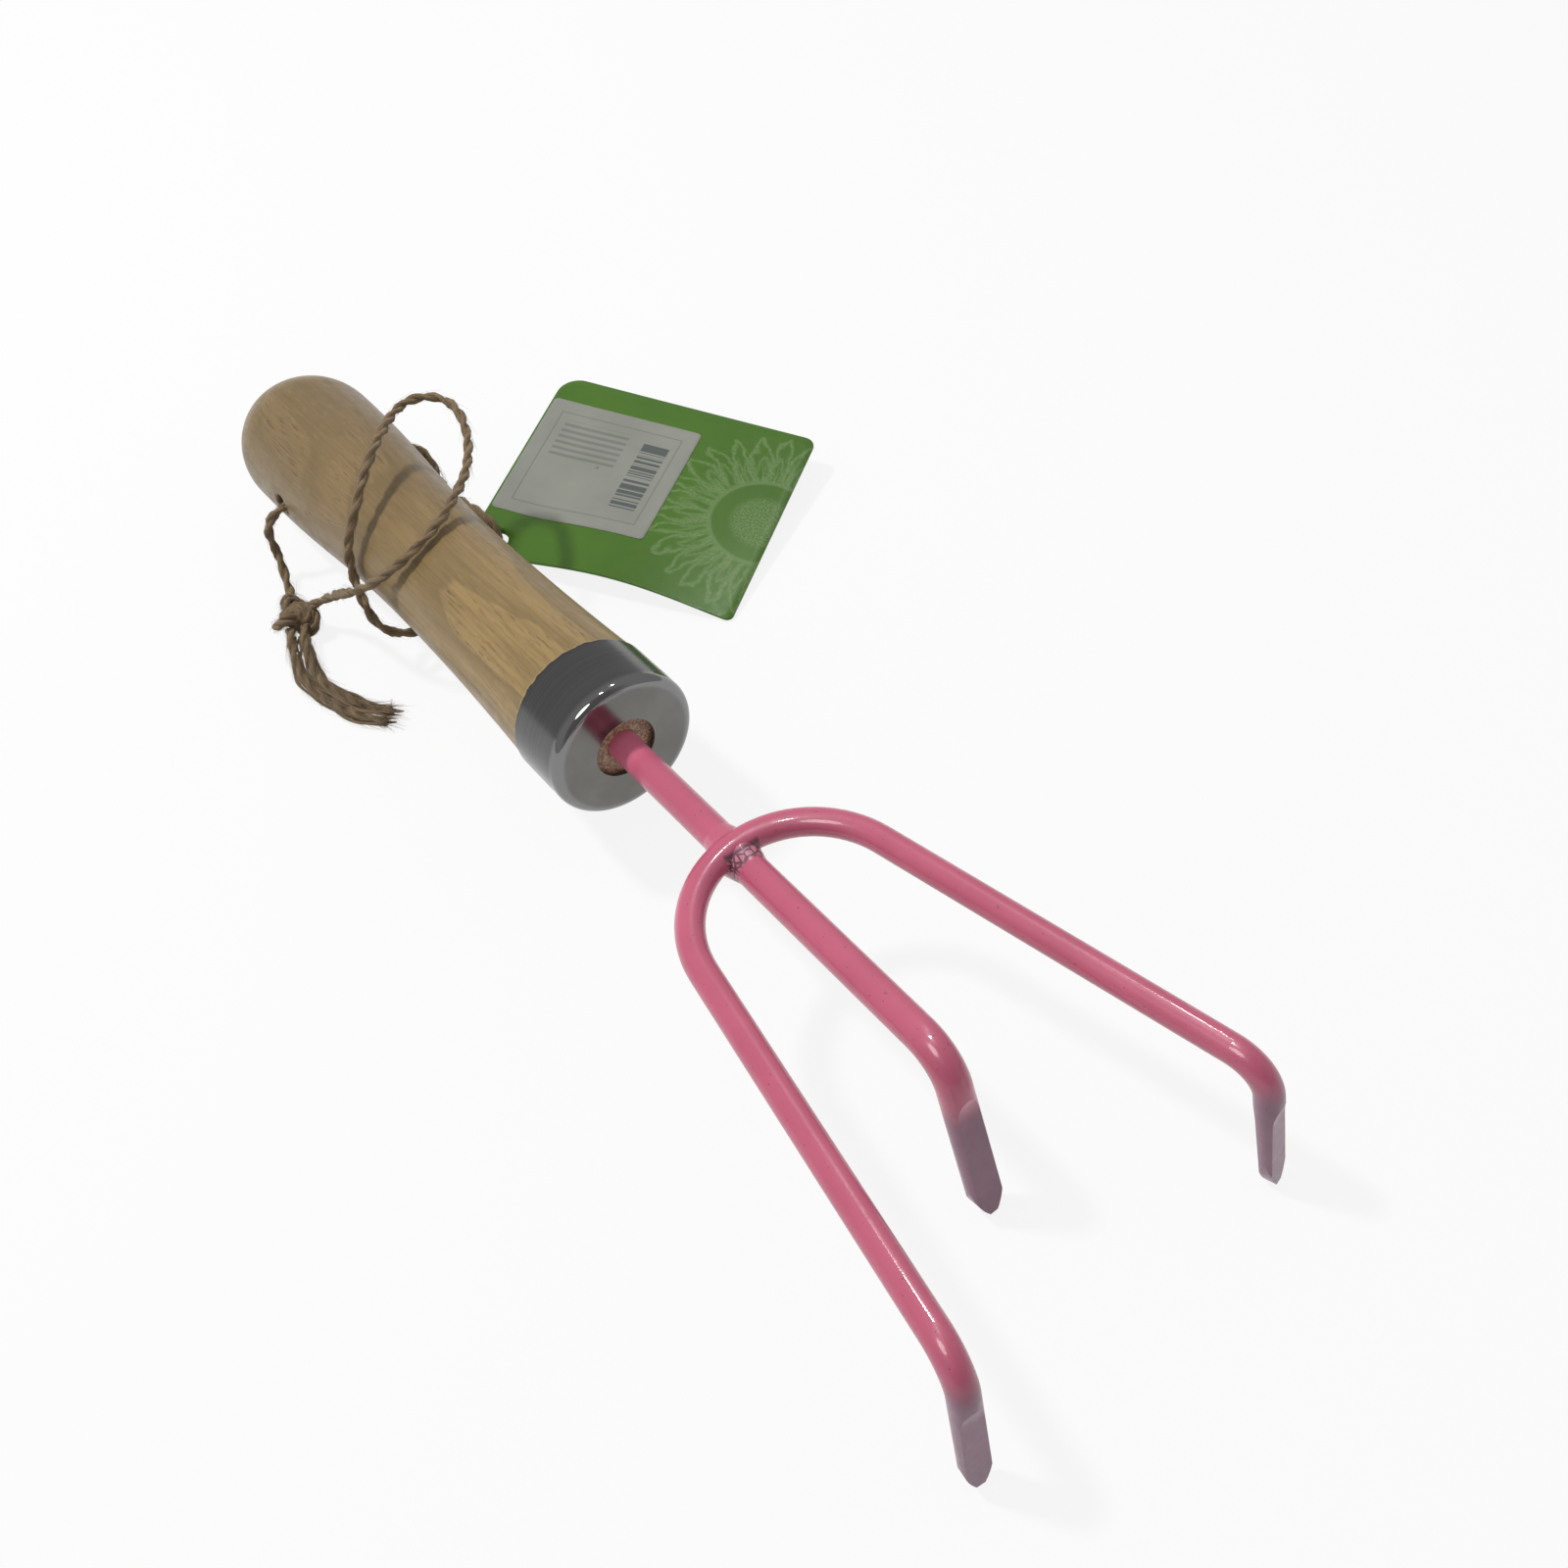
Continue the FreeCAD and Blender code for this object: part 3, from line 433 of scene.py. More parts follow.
at_joint = math_of(
    tree,
    "MULTIPLY",
    ease(tree, place["X"], CROWN_MM + 2.6, CROWN_MM + 3.4),
    ease(tree, place["X"], CROWN_MM + 6.4, CROWN_MM + 5.0),
)
at_joint = math_of(
    tree, "MULTIPLY", at_joint, ease(tree, math_of(tree, "ABSOLUTE", place["Y"]), 4.6, 3.6)
)
cracks_and_crevice_shade = math_of(tree, "MULTIPLY", ease(tree, cells, 0.17, 0.05), at_joint)
# Painted shadow: a thin dark line across the bar where the crown meets the start of the centre
# tine, standing in for shade in the crevice there. It is merged into the crack marks and darkened
# with them.
seam = math_of(
    tree,
    "MULTIPLY",
    ease(tree, place["X"], CROWN_MM + 2.2, CROWN_MM + 2.9),
    ease(tree, place["X"], CROWN_MM + 3.5, CROWN_MM + 3.0),
)
seam = math_of(
    tree, "MULTIPLY", seam, ease(tree, math_of(tree, "ABSOLUTE", place["Y"]), 4.4, 3.8)
)
cracks_and_crevice_shade = math_of(tree, "MAXIMUM", cracks_and_crevice_shade, seam)
pink = blend_colour(tree, math_of(tree, "MULTIPLY", at_joint, 0.6), pink, rgb(214, 150, 168))
# Darker, greyer pink and less coat towards the bottom of the tines.
low_on_tines = ease(tree, place["Z"], LOW_FROM_MM, LOW_TO_MM)
low_tip_pink = blend_colour(tree, broad, rgb(162, 116, 138), rgb(142, 100, 120))
pink = blend_colour(tree, low_on_tines, pink, low_tip_pink)
pink = blend_colour(tree, math_of(tree, "MULTIPLY", cracks_and_crevice_shade, 0.85), pink, rgb(72, 38, 52))
skin = math_of(tree, "SUBTRACT", peel, math_of(tree, "MULTIPLY", cracks_and_crevice_shade, 2.0))
feed(
    tree,
    shader,
    Base_Color=pink,
    Roughness=ease(tree, fine, 0.0, 1.0, 0.32, 0.40),
    Normal=bumped(tree, skin, 0.10, 0.0004),
    Coat_Weight=ease(tree, low_on_tines, 0.0, 1.0, 0.6, 0.2),
    Coat_Roughness=0.09,
    Specular_IOR_Level=0.4,
)
for node in ("shank", "centre_tine", "outer_tine_fork", "weld_bead_rear", "weld_bead_front"):
    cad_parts[node].material_slots[0].material = enamel

# ---------------------------------------------------------------- twine
# Brown jute, spun as two plies laid together, 2.5 mm across. It goes through the cross hole and
# the tag, wraps the handle and ends in one knot with two tails. It is limp and a little hairy.
PLY_LAY = 0.0105
DIRECTIONS = 400
GOLDEN_TURN = 2.399963
PLY_RADIUS = 0.00073
PLY_OFFSET = 0.00050
RING_STEP = 0.00035
RING_SIDES = 10

short_way_route = [
    (-124.2, -20.0, 19.4), (-124.1, -26.2, 19.1), (-125.0, -29.4, 13.6), (-123.6, -29.0, 6.8),
    (-118.2, -30.6, 2.6), (-112.0, -32.4, 1.7), (-106.6, -33.8, 3.4),
]
long_way_route = [
    (-124.2, -20.0, 19.4), (-124.3, -9.0, 20.0), (-124.1, 2.6, 19.3), (-124.0, 13.0, 19.9),
    (-123.2, 16.4, 14.2), (-118.0, 15.8, 9.2), (-111.6, 15.0, 9.6), (-105.2, 15.8, 10.8),
    (-98.8, 17.0, 10.6), (-94.0, 18.6, 8.0), (-90.7, 16.0, 1.8), (-85.4, 7.0, 2.2),
    (-80.6, -1.6, 3.8), (-76.2, -10.2, 6.2), (-73.0, -18.2, 9.6), (-74.6, -24.4, 14.6),
    (-81.0, -24.2, 18.8), (-86.6, -22.9, 24.0), (-86.4, -22.0, 32.0), (-86.8, -17.9, 39.4),
    (-90.7, -12.2, 44.4), (-96.4, -5.9, 46.4), (-102.4, 0.0, 45.8), (-107.4, 5.0, 44.6),
    (-110.2, 10.0, 44.0), (-109.4, 15.0, 43.6), (-105.6, 18.2, 43.2), (-100.2, 18.8, 42.4),
    (-94.0, 17.0, 41.2), (-87.8, 13.8, 40.4), (-82.2, 9.8, 40.4), (-77.4, 5.4, 40.9),
    (-73.0, 0.6, 41.6), (-69.2, -4.4, 41.7), (-66.6, -10.0, 41.2), (-66.2, -16.0, 39.0),
    (-69.2, -20.8, 34.2), (-74.2, -24.6, 29.0), (-80.4, -27.2, 24.2), (-87.0, -27.0, 18.8),
    (-93.2, -26.8, 13.4), (-98.6, -29.4, 9.0), (-101.2, -32.8, 6.4),
]
long_tail_route = [
    (-99.2, -38.4, 4.4), (-94.2, -40.6, 3.8), (-88.4, -42.4, 2.6), (-82.2, -43.4, 1.9),
    (-76.0, -42.2, 1.6), (-69.6, -40.4, 1.7), (-63.6, -37.8, 1.6), (-59.4, -34.2, 1.6),
]
short_tail_route = [
    (-98.0, -35.2, 4.6), (-93.4, -37.4, 4.0), (-88.0, -39.2, 2.7), (-82.2, -40.3, 1.9),
    (-76.4, -39.2, 1.6), (-70.4, -37.3, 1.7), (-65.0, -34.8, 1.6), (-61.8, -31.4, 1.6),
]


def evenly(points, step):
    """Points spaced evenly, about a step apart, along a polyline."""
    lengths = np.linalg.norm(np.diff(points, axis=0), axis=1)
    travelled = np.concatenate([[0.0], np.cumsum(lengths)])
    count = int(round(travelled[-1] / step)) + 1
    marks = np.linspace(0.0, travelled[-1], count)
    return np.stack([np.interp(marks, travelled, points[:, k]) for k in range(3)], axis=1)


def smooth_line(route):
    """Points read from the NURBS spline that a route's points control, in metres."""
    curve = bpy.data.curves.new("route", "CURVE")
    curve.dimensions = "3D"
    spline = curve.splines.new("NURBS")
    spline.points.add(len(route) - 1)
    controls = np.ones((len(route), 4))
    controls[:, :3] = np.array(route) / MM_PER_M
    spline.points.foreach_set("co", controls.ravel())
    spline.order_u = 3
    spline.use_endpoint_u = True
    spline.resolution_u = 16
    holder = bpy.data.objects.new("route", curve)
    read = bpy.data.meshes.new_from_object(holder)
    points = np.empty(len(read.vertices) * 3)
    read.vertices.foreach_get("co", points)
    bpy.data.meshes.remove(read)
    bpy.data.objects.remove(holder)
    bpy.data.curves.remove(curve)
    return evenly(points.reshape(-1, 3), RING_STEP)


def across_line(line):
    """Two unit vectors across a line at each point: crossed with a direction it never runs in."""
    ahead = np.gradient(line, axis=0)
    ahead /= np.linalg.norm(ahead, axis=1, keepdims=True)
    turn = np.arange(DIRECTIONS) * GOLDEN_TURN
    height = 1 - 2 * (np.arange(DIRECTIONS) + 0.5) / DIRECTIONS
    flat = np.sqrt(1 - height ** 2)
    choices = np.stack([flat * np.cos(turn), flat * np.sin(turn), height], axis=1)
    nearest = np.abs(ahead @ choices.T).max(axis=0)
    sideways = np.cross(ahead, choices[nearest.argmin()])
    sideways /= np.linalg.norm(sideways, axis=1, keepdims=True)
    return sideways, np.cross(ahead, sideways)


def grid_faces(rows, columns, wrap_rows=False):
    """Quads of a grid of rings that are closed along their columns."""
    last = rows if wrap_rows else rows - 1
    row, column = np.meshgrid(np.arange(last), np.arange(columns), indexing="ij")
    next_row, next_column = (row + 1) % rows, (column + 1) % columns
    corners = [
        row * columns + column,
        row * columns + next_column,
        next_row * columns + next_column,
        next_row * columns + column,
    ]
    return np.stack(corners, axis=-1).reshape(-1, 4)


def new_piece(name, points, faces, body, material, lay=None):
    """A smooth mesh piece that rides on a body. lay is each point's place on it laid straight."""
    mesh = bpy.data.meshes.new(name)
    faces = faces.tolist() if isinstance(faces, np.ndarray) else faces
    mesh.from_pydata(points.tolist(), [], faces)
    mesh.shade_smooth()
    if lay is not None:
        mesh.attributes.new("lay", "FLOAT_VECTOR", "POINT").data.foreach_set("vector", lay.ravel())
    mesh.materials.append(material)
    piece = bpy.data.objects.new(name, mesh)
    scene.collection.objects.link(piece)
    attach(piece, body)
    return piece


def ply_rings(line, ply, seed, closed=False, scale=1.0):
    """Rings of one ply: a lumpy circle carried round the line once in every lay.

    Radius = ply radius x (1 + three slow swells along the ply + ridges that turn with it).
    """
    sideways, upward = across_line(line)
    lengths = np.linalg.norm(np.diff(line, axis=0), axis=1)
    travelled = np.concatenate([[0.0], np.cumsum(lengths)])
    turns = travelled[-1] / PLY_LAY
    if closed:
        turns = round(turns)
    twist = 2 * np.pi * turns * travelled / travelled[-1] + np.pi * ply
    centre = line + scale * PLY_OFFSET * (
        np.cos(twist)[:, None] * sideways + np.sin(twist)[:, None] * upward
    )
    phases = np.random.default_rng(seed).uniform(0, 2 * np.pi, 3)
    waves = 2 * np.pi * travelled / travelled[-1]
    swell = (
        0.07 * np.sin(waves * round(travelled[-1] / 0.0131) + phases[0])
        + 0.05 * np.sin(waves * round(travelled[-1] / 0.0047) + phases[1])
        + 0.04 * np.sin(waves * round(travelled[-1] / 0.0021) + phases[2])
    )
    around = np.arange(RING_SIDES) * 2 * np.pi / RING_SIDES
    ridges = 0.06 * np.cos(3 * around[None, :] - 5 * twist[:, None])
    radius = scale * PLY_RADIUS * (1 + swell[:, None] + ridges)
    offset = (
        np.cos(around)[None, :, None] * sideways[:, None, :]
        + np.sin(around)[None, :, None] * upward[:, None, :]
    )
    points = centre[:, None, :] + radius[:, :, None] * offset
    lay = np.stack(
        [
            np.broadcast_to(travelled[:, None], radius.shape) * MM_PER_M,
            np.cos(around[None, :] - twist[:, None]) + 9 * ply,
            np.sin(around[None, :] - twist[:, None]) + seed,
        ],
        axis=-1,
    )
    return points.reshape(-1, 3), lay.reshape(-1, 3)


def twine_mesh(lines, seeds, closed=False, scale=1.0):
    """Points, faces and straightened places of two plies along each line."""
    points, lays, faces, base = [], [], [], 0
    for line, seed in zip(lines, seeds):
        for ply in (0, 1):
            ring_points, lay = ply_rings(line, ply, seed, closed, scale)
            rings = len(line)
            faces.extend((grid_faces(rings, RING_SIDES, closed) + base).tolist())
            if not closed:
                end = base + np.arange(RING_SIDES)
                faces.append(end[::-1].tolist())
                faces.append((end + (rings - 1) * RING_SIDES).tolist())
            points.append(ring_points)
            lays.append(lay)
            base += len(ring_points)
    return np.concatenate(points), faces, np.concatenate(lays)


jute, tree, shader = new_material("jute")
laid = put(tree, "ShaderNodeAttribute", attribute_name="lay").outputs["Vector"]
fibres = noise(tree, stretched(tree, laid, 2.4, 0.16), 1.0, 3.0, 0.7)
patches = noise(tree, stretched(tree, laid, 9.0, 1.5), 1.0, 2.0, 0.5)
brown = blend_colour(tree, ease(tree, fibres, 0.3, 0.7), rgb(112, 92, 68), rgb(178, 152, 114))
brown = blend_colour(tree, ease(tree, patches, 0.35, 0.65, 0.0, 0.5), brown, rgb(112, 96, 80))
feed(
    tree,
    shader,
    Base_Color=brown,
    Roughness=0.85,
    Normal=bumped(tree, fibres, 0.7, 0.0003),
    Sheen_Weight=0.25,
    Sheen_Roughness=0.5,
    Specular_IOR_Level=0.15,
)

short_way_line = smooth_line(short_way_route)
long_way_line = smooth_line(long_way_route)
long_tail_line = smooth_line(long_tail_route)
short_tail_line = smooth_line(short_tail_route)


def lay_twine(name, line, seed):
    """One run of twine as a piece that replaces the node of the same name."""
    points, faces, lay = twine_mesh([line], [seed])
    piece = new_piece(f"{name}_plies", points, faces, "tool", jute, lay)
    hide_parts(name)
    return piece


twine_short = lay_twine("twine_short_way", short_way_line, 1)
twine_long = lay_twine("twine_long_way", long_way_line, 2)
tail_long = lay_twine("twine_tail_long", long_tail_line, 3)
tail_short = lay_twine("twine_tail_short", short_tail_line, 4)

# ---------------------------------------------------------------- knot
# An overhand knot pulled tight in both ends of the twine at once, so it shows two runs of twine
# side by side all the way round.
KNOT_LONG, KNOT_WIDE, KNOT_HIGH = 0.00172, 0.00150, 0.0021
KNOT_RUN_GAP = 0.17
CORE_RADII = (0.0040, 0.0035, 0.0029)
knot_low, knot_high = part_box("twine_knot")
knot_centre = (np.array(knot_low) + np.array(knot_high)) / 2
around = np.linspace(0, 2 * np.pi, 240)
knot_lines = []
for side in (-1, 1):
    grow = 1 + KNOT_RUN_GAP * side
    loop = np.stack(
        [
            KNOT_LONG * grow * (np.sin(around) + 2 * np.sin(2 * around)),
            KNOT_WIDE * grow * (np.cos(around) - 2 * np.cos(2 * around)),
            -KNOT_HIGH * np.sin(3 * around) - 0.0004 * side,
        ],
        axis=1,
    )
    knot_lines.append(evenly(loop + knot_centre, RING_STEP)[:-1])
points, faces, lay = twine_mesh(knot_lines, [5, 6], closed=True, scale=0.95)
knot = new_piece("twine_knot_plies", points, faces, "tool", jute, lay)
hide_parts("twine_knot")

# Tufts crushed between the turns: an ellipsoid x (1 + ridges that wind round and along it).
CORE_RINGS, CORE_SIDES = 40, 64
down = np.linspace(0, np.pi, CORE_RINGS)[:, None]
turn = (np.arange(CORE_SIDES) * 2 * np.pi / CORE_SIDES)[None, :]
ridge = 1 + np.sin(down) * (0.07 * np.sin(9 * turn + 4 * down) + 0.05 * np.sin(5 * turn - 7 * down))
core = knot_centre + ridge[:, :, None] * np.stack(
    [
        CORE_RADII[0] * np.sin(down) * np.cos(turn),
        CORE_RADII[1] * np.sin(down) * np.sin(turn),
        -CORE_RADII[2] * np.cos(down) + 0 * turn,
    ],
    axis=-1,
)
lay = np.stack([4 * np.cos(turn) + 3 * down, 5 * np.sin(turn) + 0 * down, 2 * down + 0 * turn], -1)
inner_rings = grid_faces(CORE_RINGS, CORE_SIDES)
core_faces = inner_rings[CORE_SIDES:-CORE_SIDES].tolist()
ring_one = CORE_SIDES + np.arange(CORE_SIDES)
ring_last = ring_one + (CORE_RINGS - 3) * CORE_SIDES
south = np.zeros(CORE_SIDES, dtype=int)
north = south + (CORE_RINGS - 1) * CORE_SIDES
core_faces += np.stack([south, np.roll(ring_one, -1), ring_one], axis=1).tolist()
core_faces += np.stack([north, ring_last, np.roll(ring_last, -1)], axis=1).tolist()
new_piece(
    "twine_knot_tufts", core.reshape(-1, 3), core_faces, "tool", jute, lay.reshape(-1, 3)
)

# ---------------------------------------------------------------- loose fibres
# Jute sheds: short fibres stand off the plies all along, and the tails fray where they were cut.
FIBRE_RADIUS = 0.000045
FIBRE_STEPS = 6
TWINE_SKIN = 0.0009
FIBRE_LOWEST = 0.00015
FRAYED_LAST = 0.004


def fibre_points(line, count, seed, reach=(0.003, 0.009), stand_off=0.0016, only_end=False):
    """Centres of loose fibres, which leave the twine's skin and drift off along a bent path.

    Place = point on the line, moved along it, + (skin + rise x run to 1.6) outwards, while the
    outward direction turns by the fibre's curl.
    """
    rng = np.random.default_rng(seed)
    sideways, upward = across_line(line)
    ahead = np.gradient(line, axis=0)
    ahead /= np.linalg.norm(ahead, axis=1, keepdims=True)
    total = len(line) * RING_STEP
    start = rng.uniform(0, 1, count)
    if only_end:
        start = 1 - FRAYED_LAST / total * rng.uniform(0, 1, count)
    length = rng.uniform(*reach, count)
    way = np.where(rng.uniform(0, 1, count) < 0.7, 1.0, -1.0)
    if only_end:
        way = np.ones(count)
    angle = rng.uniform(0, 2 * np.pi, count)
    curl = rng.uniform(-1.2, 1.2, count)
    rise = rng.uniform(0.15, 1.0, count) * stand_off
    run = np.linspace(0, 1, FIBRE_STEPS)
    first = np.clip((start * (len(line) - 1)).astype(int), 0, len(line) - 1)
    gone = way[:, None] * length[:, None] * run[None, :]
    if only_end:
        base = line[first][:, None, :] + gone[:, :, None] * ahead[first][:, None, :]
        side, up = sideways[first][:, None, :], upward[first][:, None, :]
    else:
        index = np.clip((first[:, None] + gone / RING_STEP).astype(int), 0, len(line) - 1)
        base, side, up = line[index], sideways[index], upward[index]
    turned = angle[:, None] + curl[:, None] * run[None, :]
    out = TWINE_SKIN + rise[:, None] * run[None, :] ** 1.6
    paths = base + out[:, :, None] * (
        np.cos(turned)[:, :, None] * side + np.sin(turned)[:, :, None] * up
    )
    paths[:, :, 2] = np.maximum(paths[:, :, 2], FIBRE_LOWEST)
    return paths


def fibre_mesh(paths):
    """Three-sided tubes that thin to nothing along each path."""
    count = len(paths)
    ahead = np.gradient(paths, axis=1)
    ahead /= np.linalg.norm(ahead, axis=2, keepdims=True) + 1e-12
    side = np.cross(ahead, np.array([0.31, 0.52, 0.79]))
    side /= np.linalg.norm(side, axis=2, keepdims=True) + 1e-12
    up = np.cross(ahead, side)
    around = np.arange(3) * 2 * np.pi / 3
    thin = FIBRE_RADIUS * (1 - 0.8 * np.linspace(0, 1, FIBRE_STEPS))[None, :, None, None]
    rings = paths[:, :, None, :] + thin * (
        np.cos(around)[None, None, :, None] * side[:, :, None, :]
        + np.sin(around)[None, None, :, None] * up[:, :, None, :]
    )
    one = grid_faces(FIBRE_STEPS, 3)
    faces = (one[None] + (np.arange(count) * FIBRE_STEPS * 3)[:, None, None]).reshape(-1, 4)
    ends = np.array([[2, 1, 0], [FIBRE_STEPS * 3 - 3, FIBRE_STEPS * 3 - 2, FIBRE_STEPS * 3 - 1]])
    caps = (ends[None] + (np.arange(count) * FIBRE_STEPS * 3)[:, None, None]).reshape(-1, 3)
    places = rings.reshape(-1, 3) * MM_PER_M
    return rings.reshape(-1, 3), faces.tolist() + caps.tolist(), places


TAIL_MM = 42
YARNS = 16
YARN_STEPS = 60
YARN_RADIUS = 0.00036


def yarn_paths(first, second, seed):
    """Untwisted yarns that fill the space between the two tails and fan out past their ends.

    Place = middle of the tails + spread(t) x share x sideways, plus slow waves sideways and up.
    """
    rng = np.random.default_rng(seed)
    run = np.linspace(0.06, 1, YARN_STEPS)
    middle = (
        first[(run * (len(first) - 1)).astype(int)]
        + second[(run * (len(second) - 1)).astype(int)]
    ) / 2
    ahead = np.gradient(middle, axis=0)
    ahead[:, 2] = 0
    ahead /= np.linalg.norm(ahead, axis=1, keepdims=True)
    sideways = np.stack([-ahead[:, 1], ahead[:, 0], 0 * run], axis=1)
    share = np.linspace(-1, 1, YARNS)[:, None] + rng.uniform(-0.1, 0.1, (YARNS, 1))
    spread = 0.0012 + 0.0024 * np.sin(np.pi * np.clip(run, 0, 0.62) / 1.24) - 0.0008 * run
    phase = rng.uniform(0, 2 * np.pi, (YARNS, 3))
    wave = 0.00045 * np.sin(2 * np.pi * 1.7 * run + phase[:, :1]) + 0.0002 * np.sin(
        2 * np.pi * 4.3 * run + phase[:, 1:2]
    )
    height = YARN_RADIUS * 1.1 + 0.0009 * (1 + np.sin(2 * np.pi * 1.3 * run + phase[:, 2:])) * (
        1 - 0.6 * share ** 2
    )
    lowest = np.minimum(middle[:, 2], 0.0035)[None] * 0.4
    paths = middle[None] + (share * spread[None] + wave)[:, :, None] * sideways[None]
    reach = rng.uniform(0.0, 0.0035, YARNS)[:, None] * run[None] ** 6
    paths = paths + reach[:, :, None] * ahead[None]
    paths[:, :, 2] = height + np.where(run < 0.3, lowest, lowest * 0.5)
    return paths


def yarn_mesh(paths):
    """Six-sided tubes along the yarns, tapering over their last tenth, and their laid places."""
    count, steps = paths.shape[:2]
    ahead = np.gradient(paths, axis=1)
    ahead /= np.linalg.norm(ahead, axis=2, keepdims=True)
    side = np.cross(ahead, np.array([0.0, 0.0, 1.0]))
    side /= np.linalg.norm(side, axis=2, keepdims=True)
    up = np.cross(side, ahead)
    around = np.arange(6) * np.pi / 3
    run = np.linspace(0, 1, steps)
    radius = YARN_RADIUS * np.clip((1.02 - run) / 0.1, 0.2, 1) * (1 + 0.15 * np.sin(40 * run))
    rings = paths[:, :, None] + radius[None, :, None, None] * (
        np.cos(around)[None, None, :, None] * side[:, :, None]
        + np.sin(around)[None, None, :, None] * up[:, :, None]
    )
    one = grid_faces(steps, 6)
    faces = (one[None] + (np.arange(count) * steps * 6)[:, None, None]).reshape(-1, 4).tolist()
    root = np.arange(count)[:, None] * steps * 6 + np.arange(6)
    caps = np.stack([root[:, ::-1], root + (steps - 1) * 6], axis=1).reshape(-1, 6)
    faces += caps.tolist()
    lay = np.stack(
        [
            np.broadcast_to(run[None, :, None] * TAIL_MM, rings.shape[:3]),
            np.broadcast_to(np.cos(around), rings.shape[:3]) + 5 * np.arange(count)[:, None, None],
            np.broadcast_to(np.sin(around), rings.shape[:3]),
        ],
        axis=-1,
    )
    return rings.reshape(-1, 3), faces, lay.reshape(-1, 3)


points, faces, lay = yarn_mesh(yarn_paths(long_tail_line, short_tail_line, 21))
brush = new_piece("tail_yarns", points, faces, "tool", jute, lay)

paths = np.concatenate(
    [
        fibre_points(short_way_line, 70, 11),
        fibre_points(long_way_line, 620, 12),
        fibre_points(long_tail_line, 420, 13, (0.005, 0.014), 0.0022),
        fibre_points(short_tail_line, 420, 14, (0.005, 0.014), 0.0022),
        fibre_points(knot_lines[0], 260, 15),
        fibre_points(knot_lines[1], 260, 16),
        fibre_points(long_tail_line, 60, 17, (0.002, 0.006), 0.0018, only_end=True),
        fibre_points(short_tail_line, 60, 18, (0.002, 0.006), 0.0018, only_end=True),
    ]
)
points, faces, lay = fibre_mesh(paths)
fuzz = new_piece("twine_fuzz", points, faces, "tool", jute, lay)


# ---------------------------------------------------------------- swing tag
# Stiff card, 0.8 mm thick, punched near one corner and slightly bowed, printed green on a glossy
# film. A pale line drawing of a daisy runs off its right-hand edge.
TAG_HOLE_AT = np.array([-0.09245, 0.01737, 0.0056])
TAG_LEFT, TAG_NEAR = 7.5, 5.0
TAG_LONG, TAG_WIDE = 74.0, 64.0
TAG_THICK = 0.8
TAG_CORNERS = (2.0, 3.0, 6.0, 6.0)
TAG_HOLE = 2.6
TAG_BOW = 4.4
BOW_FROM = 12.0
TAG_CLIMB, TAG_FALL, TAG_SWUNG = (math.radians(turn) for turn in (4.08, 6.84, 31.7))
tag_turn = np.array(
    Matrix.Rotation(TAG_CLIMB, 3, "X")
    @ Matrix.Rotation(TAG_FALL, 3, "Y")
    @ Matrix.Rotation(TAG_SWUNG, 3, "Z")
)


def bow(x, y):
    """Height of the bowed card: half a sine along it, fading from its near edge to its far one."""
    along = np.clip((x - BOW_FROM) / (TAG_LONG - BOW_FROM), 0, 1)
    fade = np.clip(1 - y / TAG_WIDE, 0, 1) ** 1.4
    return TAG_BOW * np.sin(np.pi * along) ** 1.2 * fade


def rounded_outline(left, right, near, far, corners, steps=10, side_steps=24):
    """Outline of a rectangle with round corners, in millimetres, anticlockwise.

    corners are the radii at the near right, far right, far left and near left.
    """
    quarter = np.linspace(0, np.pi / 2, steps)
    centres = [
        (right - corners[0], near + corners[0]), (right - corners[1], far - corners[1]),
        (left + corners[2], far - corners[2]), (left + corners[3], near + corners[3]),
    ]
    arcs = [
        np.stack([x + radius * np.cos(quarter + turn), y + radius * np.sin(quarter + turn)], 1)
        for (x, y), radius, turn in zip(centres, corners, np.arange(-1, 3) * np.pi / 2)
    ]
    share = np.linspace(0, 1, side_steps)[1:-1, None]
    sides = [
        arc[-1] * (1 - share) + following[0] * share
        for arc, following in zip(arcs, arcs[1:] + arcs[:1])
    ]
    return np.concatenate([part for pair in zip(arcs, sides) for part in pair])


def sheet_shell(outline, inner, thick, lift, lip=0.12, rings=26):
    """Closed card: rings from an inner outline to the outer one, over its rim and back below."""
    share = np.linspace(0, 1, rings)[:, None, None]
    centre = outline.mean(axis=0)
    inset = outline + lip * (centre - outline) / np.linalg.norm(
        centre - outline, axis=1, keepdims=True
    )
    top = inner[None] * (1 - share) + inset[None] * share
    flat = np.concatenate([top, outline[None], outline[None], top[::-1]])
    depth = np.concatenate([
        np.zeros(rings), [-min(lip, thick / 2)], [-thick + min(lip, thick / 2)],
        np.full(rings, -thick),
    ])
    x, y = flat[..., 0], flat[..., 1]
    z = depth[:, None] + bow(x, y) + lift
    return np.stack([x, y, z], axis=-1), flat


def onto_tool(local):
    """Card millimetres, from its near left corner, to metres where the card lies."""
    from_hole = local - np.array([TAG_LEFT, TAG_NEAR, 0.0])
    return TAG_HOLE_AT + (from_hole / MM_PER_M) @ tag_turn.T


outline = rounded_outline(0, TAG_LONG, 0, TAG_WIDE, TAG_CORNERS)
from_hole = outline - np.array([TAG_LEFT, TAG_NEAR])
inner = np.array([TAG_LEFT, TAG_NEAR]) + TAG_HOLE * from_hole / np.linalg.norm(
    from_hole, axis=1, keepdims=True
)
local, flat = sheet_shell(outline, inner, TAG_THICK, 0.0)
rows, columns = local.shape[:2]
lay = np.concatenate([flat, local[..., 2:] * 0], axis=-1).reshape(-1, 3)

